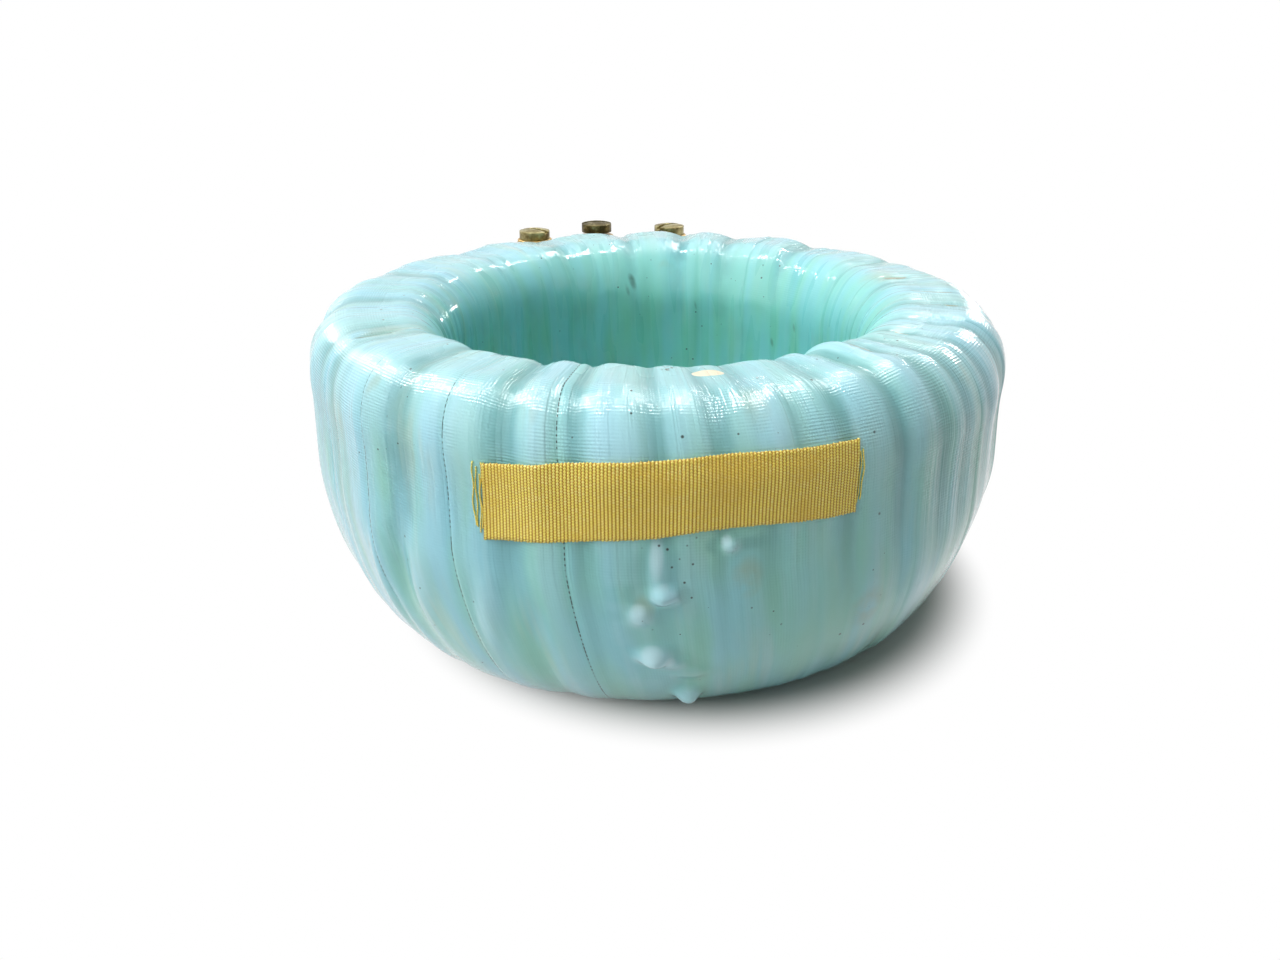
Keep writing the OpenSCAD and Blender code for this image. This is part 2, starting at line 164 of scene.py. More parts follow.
# Terminals, as their solids have them, with angles from +X
TERMINALS = (115, 102, 87)
TERMINAL_AGES = (0.45, 0.85, 0.62)  # how brown each has gone
SCREW_R, TAB_Z, TAB_W, TAB_T, TAB_LEG, LEG_R = 70.0, RING_H - 2.9, 9.0, 1.2, 20.0, 59.2
TAB_BEND_R = 1.0
HEAD_R, HEAD_H, DOME_H, SLOT_W, SLOT_DEPTH = 3.7, 2.5, 0.5, 1.1, 1.0
SHANK_R, SHANK_L, THREAD, THREAD_DEPTH, THREAD_STEPS = 1.75, 8.0, 0.7, 0.33, 24
SCREW_SLACK = (0, 0.9, 0.1)
FIRST_SLOT, NEXT_SLOT = 125, 50  # turn of the first slot, and how much further each next one is turned
WASHER_R, WASHER_T, WASHER_ROOM, WASHER_EDGE = 4.2, 0.8, 0.15, 0.12
NUT_AF, NUT_T, NUT_ROOM, NUT_FACE = 7.9, 2.8, 0.02, 0.15
TAB_ROOM = 0.06
HEAD_ROUND, TAB_ROUND = 0.14, 0.12

# Camera, fitted to the ring's outlines in the photo
SENSOR, FOCAL_PIXELS, PHOTO_WIDTH = 36, 961, 1280
CAMERA_PLACE = (0, -0.176698, 0.098528 + BASE_Z * MM)
CAMERA_AIM = (-0.013508, 0.906532, -0.421920)

# Lamps of the arch: angle from the front, angle up and size; each is a metre away
ARCH = ((-128, 26, 0.075), (-116, 42, 0.08), (-106, 54, 0.08), (-104, 66, 0.08), (-98, 77, 0.08),
        (116, 78, 0.08), (140, 66, 0.08), (155, 54, 0.07), (161, 40, 0.05), (148, 8, 0.045))
ARCH_SPREAD, ARCH_POWER = 1.5, 360
SIDE_SKY, TOP_SKY = 0.06, 0.5  # strength of the studio's light from the sides and from above

FLOOR_SIZE = 6
SHADOW_MIDDLE = (0.008, -0.003, BASE_Z * MM)
SHADOW_ENDS = (0.046, 0.060)  # the floor's shadow fades to white between these distances


def srgb(r, g, b):
    return tuple(c / 12.92 if c <= 0.04045 else ((c + 0.055) / 1.055) ** 2.4
                 for c in (r / 255, g / 255, b / 255)) + (1,)


# Colours of the varnished tape and of what is on it; the colours for the top, crests, drips, hollows,
# creases, window creases and selvage gaps are painted light and shade
TAPE_BLUE, TAPE_GREEN, TAPE_OLIVE = srgb(140, 209, 224), srgb(136, 206, 187), srgb(192, 204, 166)
TAPE_PALE, TAPE_LIT_PALE, TAPE_CREST_HIGHLIGHT = srgb(178, 228, 234), srgb(186, 230, 246), srgb(190, 234, 248)
TAPE_HOLLOW_SHADE, TAPE_CREASE_SHADE, TAPE_DRIP_HIGHLIGHT = srgb(92, 162, 160), srgb(70, 136, 134), srgb(210, 246, 254)
WINDOW_TINT = (0.74, 1.0, 0.91, 1)
STAIN_OLIVE, CREASE_SHADE_DARK, SELVAGE_GAP_SHADE = srgb(158, 168, 122), srgb(44, 78, 60), srgb(30, 52, 50)
SPECK_DARK, SLIT_BROWN, CRUMB_BROWN = srgb(36, 42, 36), srgb(142, 138, 96), srgb(84, 74, 44)
CHIP_CREAM, CHIP_BROWN = srgb(238, 228, 200), srgb(120, 84, 44)
# Colours of the ribbon, with painted shade in the gaps between the ribs and painted light on their crowns and
# threads
RIB_GAP_SHADE, RIB_CREST_LIT, RIB_THREAD_HIGHLIGHT, RIB_WORN = (
    srgb(186, 130, 16), srgb(255, 238, 108), srgb(255, 246, 164), srgb(222, 174, 44))
# Colours of the floor, to light and to the eye
FLOOR_GREY, FLOOR_SEEN = (0.5, 0.5, 0.5, 1), (0.5, 0.5, 0.47, 1)
WHITE = (1, 1, 1, 1)


class Wire:
    """A shader socket that takes part in Python sums."""

    def __init__(self, shader, socket):
        self.shader, self.socket = shader, socket

    def math(self, operation, *others):
        return self.shader.node("ShaderNodeMath", {"operation": operation}, (self, *others))

    def beside(self, output):
        """Another output of the same node."""
        return Wire(self.shader, self.socket.node.outputs[output])

    def __add__(self, other):
        return self.math("ADD", other)

    def __mul__(self, other):
        return self.math("MULTIPLY", other)

    def __sub__(self, other):
        return self.math("SUBTRACT", other)

    def __rsub__(self, other):
        return self.shader.node("ShaderNodeMath", {"operation": "SUBTRACT"}, (other, self))

    def __truediv__(self, other):
        return self.math("DIVIDE", other)

    __radd__, __rmul__ = __add__, __mul__


class Shader:
    """A node tree, to which one method adds every node."""

    def __init__(self, tree):
        self.tree = tree

    def fill(self, socket, value):
        if isinstance(value, Wire):
            self.tree.links.new(value.socket, socket)
        elif value is not None:
            socket.default_value = value

    def node(self, kind, settings=None, values=(), output=0):
        n = self.tree.nodes.new(kind)
        for name, value in (settings or {}).items():
            setattr(n, name, value)
        for key, value in values.items() if isinstance(values, dict) else enumerate(values):
            self.fill(n.inputs[key], value)
        return Wire(self, n.outputs[output])

    def parts(self, vector):
        split = self.node("ShaderNodeSeparateXYZ", None, (vector,))
        return [split.beside(axis) for axis in "XYZ"]


class Finish(Shader):
    """A material whose shader starts as one Principled BSDF with these constant settings."""

    def __init__(self, name, **constants):
        self.material = bpy.data.materials.new(name)
        self.material.use_nodes = True
        super().__init__(self.material.node_tree)
        self.surface = next(n for n in self.tree.nodes if n.type == "BSDF_PRINCIPLED")
        for socket, value in constants.items():
            self.surface.inputs[socket.replace("_", " ")].default_value = value

    def feed(self, socket, value):
        self.fill(self.surface.inputs[socket], value)

    def mix(self, share, a, b, blend="MIX"):
        settings = {"data_type": "RGBA", "blend_type": blend}
        return self.node("ShaderNodeMix", settings, {0: share, 6: a, 7: b}, 2)

    def smooth(self, value, low, high, to_low=0.0, to_high=1.0):
        return self.node("ShaderNodeMapRange", {"interpolation_type": "SMOOTHSTEP"},
                         (value, low, high, to_low, to_high))

    def noise(self, place, scale, detail=3.0, rough=0.5):
        return self.node("ShaderNodeTexNoise", None, {"Vector": place, "Scale": scale, "Detail": detail,
                                                      "Roughness": rough})

    def place(self):
        return self.node("ShaderNodeTexCoord", output="Object")

    def attribute(self, name):
        return self.node("ShaderNodeAttribute", {"attribute_name": name}, output="Fac")

    def vector(self, x, y, z):
        return self.node("ShaderNodeCombineXYZ", None, (x, y, z))

    def vmath(self, operation, *values, output=0):
        return self.node("ShaderNodeVectorMath", {"operation": operation}, values, output)

    def bump(self, height, distance, under=None):
        return self.node("ShaderNodeBump", None, {"Strength": 1.0, "Distance": distance, "Height": height,
                                                  "Normal": under})

    def oval(self, spot, centre, lie, half, thin, soft=0.0):
        """1 in an oval mark on the surface, 0 outside; lengths in millimetres."""
        lie = tuple(Vector(lie).normalized())
        off = self.vmath("SUBTRACT", spot, tuple(c * MM for c in centre))
        far = self.vmath("DOT_PRODUCT", off, lie, output=1)
        along = self.node("ShaderNodeVectorMath", {"operation": "SCALE"}, {0: lie, 3: far})
        side = self.vmath("LENGTH", self.vmath("SUBTRACT", off, along), output=1)
        u, v = far / (half * MM), side / (thin * MM)
        return 1 - self.smooth(u * u + v * v, soft, 1.0)


def on_ring(angle, radius, height=0.0):
    """Point at an angle from the front, a radius and a height above the base, in millimetres."""
    a = math.radians(angle + FRONT)
    return radius * math.cos(a), radius * math.sin(a), height + BASE_Z


def plan_point(angle, radius):
    x, y, _ = on_ring(angle, radius)
    return x, y, 0


def piece_from(bm, name, material, smooth=True):
    mesh = bpy.data.meshes.new(name)
    bm.to_mesh(mesh)
    bm.free()
    obj = bpy.data.objects.new(name, mesh)
    scene.collection.objects.link(obj)
    mesh.materials.append(material)
    mesh.polygons.foreach_set("use_smooth", [smooth] * len(mesh.polygons))
    return obj


def dress(piece, slot, *nodes):
    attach(piece, "root")
    if nodes:
        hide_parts(*nodes)


def new_points(grown):
    return [g for g in grown if isinstance(g, bmesh.types.BMVert)]


def new_edges(grown):
    return [g for g in grown if isinstance(g, bmesh.types.BMEdge)]


def soft_step(x, low, high):
    t = np.clip((x - low) / (high - low), 0, 1)
    return t * t * (3 - 2 * t)


def by_angle(degrees, stops):
    return np.interp(degrees, [a for a, _ in stops], [v for _, v in stops], period=360)


def between(grid, i, j, next_i, next_j, ti, tj):
    """Value between four neighbours of a grid."""
    first = grid[i, j] * (1 - ti) + grid[next_i, j] * ti
    second = grid[i, next_j] * (1 - ti) + grid[next_i, next_j] * ti
    return first * (1 - tj) + second * tj


def ring_section():
    """Rows of the section from the bore over the top and back: radius, height, normal, way along."""
    r, z, marks = [BORE_R], [SEAM_Z], [0]
    for mid_r, mid_z, w, h, first in CORNERS:
        turn = np.radians(first - np.linspace(0, 90, CORNER_POINTS))
        marks.append(len(r))
        r += list(mid_r + w * np.cos(turn))
        z += list(mid_z + h * np.sin(turn))
        marks.append(len(r) - 1)
    r, z = np.array(r + [BORE_R]), np.array(z + [SEAM_Z])
    marks.append(len(r) - 1)
    way = np.concatenate([[0], np.cumsum(np.hypot(np.diff(r), np.diff(z)))])
    fine = (way > way[marks[1]] - 4) & (way < way[marks[6]] - 6)
    need = np.where(fine, 1 / FINE_ROW, 1 / PLAIN_ROW)
    count = np.concatenate([[0], np.cumsum(np.diff(way) * need[1:])])
    rows = np.interp(np.linspace(0, count[-1], int(count[-1]) + 1), count, way)
    # Normals come from a smoothed slope, so that they turn softly at the ends of the corners
    dense = np.linspace(0, way[-1], 4000)
    dr, dz = np.gradient(np.interp(dense, way, r)), np.gradient(np.interp(dense, way, z))
    box = np.ones(25) / 25
    nr, nz = np.convolve(-dz, box, "same"), np.convolve(dr, box, "same")
    size = np.hypot(nr, nz)
    return {"r": np.interp(rows, way, r), "z": np.interp(rows, way, z), "way": rows,
            "nr": np.interp(rows, dense, nr / size), "nz": np.interp(rows, dense, nz / size),
            "marks": way[marks], "length": way[-1]}


class Lay:
    """Where each point of the tape's skin lies: along the section, in its turn and around the ring."""

    def __init__(self, section, row, column):
        self.row, self.column = row, column
        rows = np.arange(len(section["r"]))
        self.r, self.z, self.nr, self.nz, self.way = (
            np.interp(row, rows, section[name]) for name in ("r", "z", "nr", "nz", "way"))
        self.marks, self.length = section["marks"], section["length"]
        (_, self.bore_top, self.rim_top, self.shoulder, self.wall_top, self.wall_low, self.base_out, _,
         self.bore_low, _) = self.marks
        self.mid_rim = (self.bore_top + self.rim_top) / 2
        self.mid_shoulder = (self.shoulder + self.wall_top) / 2
        self.turn = np.floor(column / TURN_COLUMNS).astype(int)
        step = column / TURN_COLUMNS - self.turn
        self.share = step - EDGE_CROWD * np.sin(FULL_TURN * step)
        self.turns = self.turn + self.share
        self.advance = np.interp(self.way, self.marks, ADVANCE)
        self.degrees = TURN_START + TURN_DEG * (self.turns + self.advance)
        self.front = self.degrees - FRONT
        self.lean = ((self.front - TURN_DEG * self.advance) / 360) % 1
        self.above_base = 1 - soft_step(self.way, self.base_out - 8, self.base_out)
        self.outside = soft_step(self.way, self.shoulder, self.wall_top) * self.above_base

    def near(self, way, spread):
        """1 at a way along the section, falling off to both sides."""
        return np.exp(-((self.way - way) / spread) ** 2)

    def arc(self, angle, radius):
        """Distance around the ring from an angle."""
        return np.radians((self.front - angle + 180) % 360 - 180) * radius

    def patchy(self, cells_around, cells_along, seed):
        """Smooth noise from -1 to 1 that closes around the ring and follows the lean of the turns."""
        grid = np.random.default_rng(seed).uniform(-1, 1, (cells_around, cells_along))
        x, y = self.lean * cells_around, self.way / self.length * cells_along
        i, j = np.floor(x).astype(int), np.floor(y).astype(int)
        return between(grid, i % cells_around, j % cells_along, (i + 1) % cells_around, (j + 1) % cells_along,
                       soft_step(x - i, 0, 1), soft_step(y - j, 0, 1))


def gathers(angle):
    """Rise of the folds at an angle: creased valleys and round crests."""
    at, tall = np.array(FOLDS + ((FOLDS[0][0] + 360, FOLDS[0][1]),)).T
    turn = (angle - at[0]) % 360 + at[0]
    i = np.clip(np.searchsorted(at, turn, side="right") - 1, 0, len(at) - 2)
    x = (turn - at[i]) / (at[i + 1] - at[i])
    low, high = np.minimum(tall[i], tall[i + 1]), np.maximum(tall[i], tall[i + 1])
    climb = np.where(tall[i] < tall[i + 1], x, 1 - x)
    return low + (high - low) * np.sin(np.pi / 2 * climb) ** ROUND_CREST


def lap_steps(lay):
    """Each turn laps the one before: a step at its edge that runs out under the next."""
    draw = np.random.default_rng(11)
    size, edge = draw.uniform(*LAP_SIZES, TURNS), draw.uniform(*LAP_EDGES, TURNS)
    for k in SHARP_TURNS:
        size[k], edge[k] = SHARP_SIZE, SHARP_EDGE

    def here(of_turn):
        return of_turn[lay.turn % TURNS] * (1 - lay.advance) + of_turn[(lay.turn + 1) % TURNS] * lay.advance

    step = here(size) * soft_step(lay.share, 0, here(edge)) * (1 - lay.share) ** 0.8
    return step * np.interp(lay.way, lay.marks, LAP_LEFT)


def rim_folds(lay):
    """Level of the rim and its gathered folds, deepest on the shoulder, and the rim's uneven inner edge."""
    way, level, depth = np.array((  # way along the section, share of the rim's level and depth of its folds
        (0, 0.06, 0.1), (lay.bore_top - 6, 0.12, 0.15), (lay.bore_top + 5, 0.6, 0.6),
        (lay.bore_top + 12, 1.0, 1.0), (lay.rim_top, 1.0, 1.1), (lay.shoulder, 0.85, 1.4),
        (lay.mid_shoulder, 0.6, 1.6), (lay.wall_top, 0.42, 1.3), (lay.wall_low, 0.2, 0.9),
        (lay.wall_low + 14, 0.1, 0.45), (lay.base_out, 0.12, 0.25), (lay.length, 0.06, 0.1))).T
    level, depth = np.interp(lay.way, way, level), np.interp(lay.way, way, depth)
    depth *= 1 - soft_step(lay.way, lay.rim_top, lay.shoulder) * (1 - by_angle(lay.front, RUN_ON))
    turned = lay.lean * 360 + TURN_DEG * 0.08
    mean = np.mean([gathers(turned + d) for d in (-12, -8, -4, 0, 4, 8, 12)], 0)
    fold = level * mean + depth * (gathers(turned) - mean)
    fold += 0.14 * lay.near(lay.mid_rim, 7) * lay.patchy(96, 6, 27)
    return fold + by_angle(lay.front, EDGE) * lay.near(lay.mid_rim, 5)


def pleats(lay):
    """Long soft pleats on the wall and in the window, and small wrinkles along the tape."""
    high = soft_step(lay.z, 34, 46)
    share = by_angle(lay.front, PLEATING) * (1 - high) + 0.8 * high
    share *= soft_step(lay.way, lay.shoulder - 4, lay.shoulder + 5) * lay.above_base
    rise = 0.34 * share * (lay.patchy(64, 5, 21) + 0.75 * lay.patchy(118, 6, 22))
    rise += (0.03 + 0.09 * lay.near(lay.mid_shoulder, 7)) * lay.patchy(260, 9, 23)
    rise += 0.40 * lay.outside * lay.patchy(13, 5, 24)
    window = 1 - soft_step(lay.way, lay.bore_top - 2, lay.bore_top + 8)
    window += soft_step(lay.way, lay.bore_low - 6, lay.bore_low + 2)
    return rise + window * (0.45 * lay.patchy(44, 3, 25) + 0.2 * lay.patchy(90, 5, 26) - 0.4)


def out_of_round(lay):
    """A wall that isn't quite round and a shoulder that is fuller in places."""
    low, middle, top = (by_angle(lay.front, [(row[0], row[k]) for row in OUT_OF_ROUND]) for k in (1, 2, 3))
    lower = low + (middle - low) * soft_step(lay.z, LOW_Z, HALF_WAY_Z)
    upper = middle + (top - middle) * soft_step(lay.z, HALF_WAY_Z, TOP_EDGE_Z)
    wall = lay.outside * np.where(lay.z < HALF_WAY_Z, lower, upper)
    return wall + by_angle(lay.front, SHOULDER) * lay.near(lay.mid_shoulder, 6)


def local_forms(lay):
    """Drips and swells, the tape that is bound over the tabs, and the open slits."""
    rise = np.zeros(len(lay.way))
    for angle, height, around, up, tall in DRIPS + SWELLS:
        off = (lay.arc(angle, lay.r) / around) ** 2 + ((lay.z - height) / up) ** 2
        rise += lay.outside * tall * np.exp(-off ** 1.3)
    for angle in TERMINALS:
        arc = np.abs(lay.arc(angle - FRONT, lay.r))
        under = lay.outside * (1 - soft_step(arc, TAB_W / 2, TAB_W / 2 + 2))
        rise += 0.5 * under * soft_step(lay.z, TAB_Z - TAB_LEG - 2, TAB_Z - TAB_LEG + 1)
        beside = ((arc - TAB_W / 2 - 1) / 1.1) ** 2 + ((lay.z - TAB_Z) / 2.6) ** 2
        rise += 0.8 * np.exp(-beside) * (lay.r > TOP_MIDDLE_R)
    for angle, radius, lean, half, thin in SLITS:
        far = lay.r - radius
        side = lay.arc(angle, radius) - lean * far
        rise -= 0.5 * np.exp(-(far / half) ** 4 - (side / (thin + 0.4)) ** 2) * (lay.z > TOP_FROM_Z)
    return rise


def tape_rise(lay):
    """How far the tape stands off the plain section, in millimetres."""
    rise = lap_steps(lay) + rim_folds(lay) + pleats(lay) + out_of_round(lay) + local_forms(lay)
    # The section starts and ends at the same depth, and the tape stays outside the padding under it
    seam = soft_step(np.minimum(lay.way, lay.length - lay.way), 0, SEAM_FADE)
    rise = rise * seam - SEAM_DEPTH * (1 - seam)
    return (rise - PADDING + np.sqrt((rise + PADDING) ** 2 + 0.04)) / 2


def dips(lay, rise, reach, shape):
    """How far each point lies below the mean of the columns within reach of it around the ring."""
    rows, columns = shape
    skin = np.zeros(shape)
    i, j = lay.row.astype(int), lay.column.astype(int)
    whole = (lay.row == i) & (lay.column == j)
    skin[i[whole], j[whole]] = rise[whole]
    dip = np.mean([np.roll(skin, k, 1) for k in range(-reach, reach + 1)], 0) - skin
    return between(dip, i, j, np.minimum(i + 1, rows - 1), (j + 1) % columns, lay.row - i, lay.column - j)


def map_tape(bm, turns_of, way_of, length):
    """UV map that counts turns one way and goes along the tape the other, whole across both seams."""
    uv = bm.loops.layers.uv.new("tape")
    for face in bm.faces:
        us, vs = [v[turns_of] for v in face.verts], [v[way_of] for v in face.verts]
        top_u, top_v = max(us), max(vs)
        for loop, a, b in zip(face.loops, us, vs):
            if top_v - b > length / 2:
                a, b = a - 1, b + length
            if top_u - a > TURNS / 2:
                a += TURNS
            loop[uv].uv = (a, b / UV_UNIT)


def wrap_tape(material):
    """The lapped, varnished tape as one closed skin that follows its turns."""
    section = ring_section()
    columns = TURNS * TURN_COLUMNS
    bm = bmesh.new()
    row_of = bm.verts.layers.float.new("row")
    line = []
    for i, (r, z) in enumerate(zip(section["r"], section["z"])):
        v = bm.verts.new((r * MM, 0, (z + BASE_Z) * MM))
        v[row_of] = i
        line.append(v)
    edges = [bm.edges.new(pair) for pair in zip(line, line[1:])]
    bmesh.ops.spin(bm, geom=line + edges, cent=(0, 0, 0), axis=(0, 0, 1), angle=FULL_TURN, steps=columns,
                   use_merge=True)

    def laid():
        co = np.array([v.co for v in bm.verts])
        row = np.array([v[row_of] for v in bm.verts])
        column = np.round(np.arctan2(co[:, 1], co[:, 0]) / FULL_TURN * columns, 2) % columns
        return Lay(section, row, column)

    lay = laid()
    left, right, low, high = DRIP_AREA
    front = (lay.front + 180) % 360 - 180
    near = (front > left) & (front < right) & (lay.z > low) & (lay.z < high) & (lay.r > DRIP_AREA_R)
    close = {v for v, n in zip(bm.verts, near) if n}
    finer = {e for face in bm.faces if all(v in close for v in face.verts) for e in face.edges}
    bmesh.ops.subdivide_edges(bm, edges=list(finer), cuts=1, use_grid_fill=True)
    lay = laid()
    rise = tape_rise(lay)
    r = np.maximum(lay.r + lay.nr * rise, BORE_R - BORE_SLACK)
    z = np.maximum(lay.z + lay.nz * rise, 0)
    angle = np.radians(lay.degrees)
    places = np.stack([r * np.cos(angle), r * np.sin(angle), z + BASE_Z], 1) * MM
    # What the finish reads: turns, way along, where it paints shade in hollows and creases and a highlight on
    # crests, and the turns whose selvage shows
    shape = len(section["r"]), columns
    dip = dips(lay, rise, 9, shape)
    edge = np.rint(lay.turns)
    first = np.where(edge == DASHED_TURNS[-1], lay.bore_top + 8, lay.shoulder + 3)
    marks = {
        "turns": lay.turns,
        "way": lay.way,
        "hollow_shade": np.clip(dip / HOLLOW_SHADE_DEPTH, 0, 1),
        "proud": np.clip(-dip / CREST_HIGHLIGHT_HEIGHT, 0, 1),
        "crease_shade": np.clip(dips(lay, rise, 3, shape) / CREASE_SHADE_DEPTH, 0, 1),
        "selvage": np.isin(edge, DASHED_TURNS) * (lay.way > first),
    }
    layers = [bm.verts.layers.float.new(name) for name in marks]
    for v, place, values in zip(bm.verts, places, zip(*marks.values())):
        v.co = place
        for layer, value in zip(layers, values):
            v[layer] = value
    bmesh.ops.remove_doubles(bm, verts=bm.verts, dist=3e-6)
    bmesh.ops.recalc_face_normals(bm, faces=bm.faces)
    map_tape(bm, layers[0], layers[1], section["length"])
    tree = BVHTree.FromBMesh(bm)
    return piece_from(bm, "tape_wrap_turns", material), tree


class TapeFinish(Finish):
    """Light blue woven tape with soft green and olive streaks along it, under glossy varnish."""

    def __init__(self):
        super().__init__("varnished_tape", IOR=1.5, Coat_Weight=0.12, Coat_Roughness=0.05)
        self.turns, self.way, _ = self.parts(self.node("ShaderNodeUVMap", {"uv_map": "tape"}))
        self.spot = self.place()
        x, _, self.height = self.parts(self.spot)
        self.plan = self.vmath("MULTIPLY", self.spot, (1, 1, 0))
        self.reach = self.vmath("LENGTH", self.plan, output=1)
        self.upper = self.smooth(self.height, 0.014, 0.021)
        self.inside = 1 - self.smooth(self.reach, 0.0400, 0.0450)
        self.calm = self.smooth(x, -0.036, -0.010)
        angle = self.turns * (FULL_TURN / TURNS)
        self.across, self.aside = angle.math("COSINE"), angle.math("SINE")
        self.blot = self.noise(self.spot, 190.0, 3.0)
        chip = self.oval(self.plan, plan_point(*CHIP), (1, 0.1, 0), 2.9, 1.5, 0.2) * self.upper
        self.chip = self.smooth(chip + self.noise(self.spot, 1100.0, 3.0) * 0.4, 0.55, 0.72)

    def ring_noise(self, size, pull, detail, rough=0.5, scale=2.0):
        """A ring of noise that closes around the turns, drawn out along the tape."""
        ring = self.vector(self.across * size, self.aside * size, self.way * pull)
        return self.noise(ring, scale, detail, rough)

    def threads(self, spacing):
        """A wave along the tape."""
        return (self.way * (UV_UNIT * FULL_TURN / spacing)).math("SINE")

    def streaks(self):
        """Blue and green streaks along the tape, greener in the window, with painted light that makes the top
        and the left side paler.
        """
        calm, inside = self.calm, self.inside
        streak, thin = self.ring_noise(5.5, 0.20, 1.5), self.ring_noise(16.0, 0.22, 1.0)
        cloud = self.noise(self.spot, 42.0, 2.0)
        tone = self.smooth(streak * 0.6 + cloud * 0.4, 0.38, 0.64) * (1 - calm * 0.25) + calm * 0.2
        colour = self.mix(tone, TAPE_BLUE, TAPE_GREEN)
        pale = self.smooth(thin, 0.48, 0.72) * (1 - inside * 0.7) * (0.30 - calm * 0.16)
        colour = self.mix(pale, colour, TAPE_PALE)
        # Painted light: paler and mottled high up and on the left side, where the top and left lamps fall
        lit_pale = self.smooth(self.height, 0.008, 0.026) * 0.45 + (1 - calm) * 0.14
        colour = self.mix(lit_pale * self.smooth(cloud, 0.3, 0.7, 0.5, 1.0), colour, TAPE_LIT_PALE)
        colour = self.mix(inside, colour, WINDOW_TINT, "MULTIPLY")
        old = self.smooth(self.ring_noise(4.0, 0.3, 2.0, scale=1.7), 0.50, 0.70)
        old = old * self.smooth(thin, 0.35, 0.60) * (0.34 - calm * 0.20) * (1 - inside * 0.5)
        return self.mix(old, colour, TAPE_OLIVE)

    def aged(self, colour):
        """Stains, then painted light and shade: a painted highlight on crests and drips, painted shade in
        hollows and creases and along the window's creases.
        """
        spot, blot, height = self.spot, self.blot, self.height
        for angle, radius, up, half, wide in STAINS:
            centre = on_ring(angle, radius, up)
            lie = (0, 0, 1) if up < UPRIGHT_STAIN_Z else (centre[0] * 0.7, centre[1] * 0.7, -30)
            mark = self.oval(spot, centre, lie, half, wide) * self.smooth(blot, 0.30, 0.60)
            colour = self.mix(mark * 0.40, colour, STAIN_OLIVE)
        # Painted highlight on the crests of the folds and drips, weaker in the window
        colour = self.mix(self.attribute("proud") * (0.55 - self.inside * 0.4), colour, TAPE_CREST_HIGHLIGHT)
        # Painted highlight on the upper left of each drip, where the light falls
        for angle, up, wide, tall, _ in DRIPS:
            centre = on_ring(angle - 0.4, WALL_R, up + tall * 0.4)
            mark = self.oval(spot, centre, (0, 0, 1), tall * 1.3, wide * 0.9)
            colour = self.mix(mark * 0.65, colour, TAPE_DRIP_HIGHLIGHT)
        # Painted shade in the hollows between the folds
        hollow_shade = self.attribute("hollow_shade") * self.smooth(blot, 0.25, 0.60) * self.smooth(height, 0.0, 0.016)
        colour = self.mix(hollow_shade * 0.4, colour, TAPE_HOLLOW_SHADE)
        # Painted shade along the narrow creases of the folds
        crease_shade = self.attribute("crease_shade") * self.smooth(height, -0.012, 0.012) * (1 - self.inside)
        colour = self.mix(crease_shade * 0.34, colour, TAPE_CREASE_SHADE)
        # Painted shade along the creases of the window's folds
        for angle, up, half, wide in WINDOW_CREASE_SHADES:
            leaning = on_ring(angle + 90, 0.25, 1 - BASE_Z)
            mark = self.oval(spot, on_ring(angle, BORE_R + 0.4, up), leaning, half, wide)
            colour = self.mix(mark * self.smooth(blot, 0.30, 0.55) * 0.8, colour, CREASE_SHADE_DARK)
        return colour

    def dashed(self, colour):
        """Edges of some turns, with painted shade in the gaps of their selvage."""
        edge = ((self.turns + 0.5).math("FRACT") - 0.5).math("ABSOLUTE")
        line = (1 - self.smooth(edge, 0.003, 0.007)) * self.attribute("selvage")
        # The dark dashes are painted shade in the gaps between the selvage's loops
        broken = self.smooth(self.threads(STITCH) * 0.12 + self.noise(self.spot, 420.0, 2.0), 0.46, 0.56)
        return self.mix(line * (broken * 0.7 + 0.22), colour, SELVAGE_GAP_SHADE)

    def specked(self, colour):
        """Pinholes and specks of dirt, thickest on the front, and the slits, crumb and chip on the top."""
        spot, plan, upper = self.spot, self.plan, self.upper
        dots = self.node("ShaderNodeTexVoronoi", None, {"Vector": spot, "Scale": 560.0})
        chance, grade, _ = self.parts(dots.beside("Color"))
        thick = self.smooth(self.noise(spot, 38.0, 2.0), 0.42, 0.68) * 0.6
        thick = thick + self.oval(spot, on_ring(*SPECKLED, SPECKLED_Z), (0, 0, 1), 20, 15) * 0.7
        speck = (1 - self.smooth(dots / (grade + 0.3), 0.06, 0.13)) * self.smooth(thick - chance, 0.0, 0.08)
        colour = self.mix(speck * 0.9, colour, SPECK_DARK)
        for angle, radius, _, half, thin in SLITS:
            centre = plan_point(angle, radius)
            slit = self.oval(plan, centre, centre, half, thin * 0.75, 0.6)
            colour = self.mix(slit * upper * 0.85, colour, SLIT_BROWN)
        crumb = self.oval(plan, plan_point(*CRUMB), (0.4, 1, 0), 1.6, 1.0) * upper
        crumb = crumb * self.smooth(self.noise(spot, 1500.0, 2.0), 0.48, 0.6)
        colour = self.mix(crumb, colour, CRUMB_BROWN)
        colour = self.mix(self.chip, colour, CHIP_CREAM)
        return self.mix(self.chip * speck, colour, CHIP_BROWN)

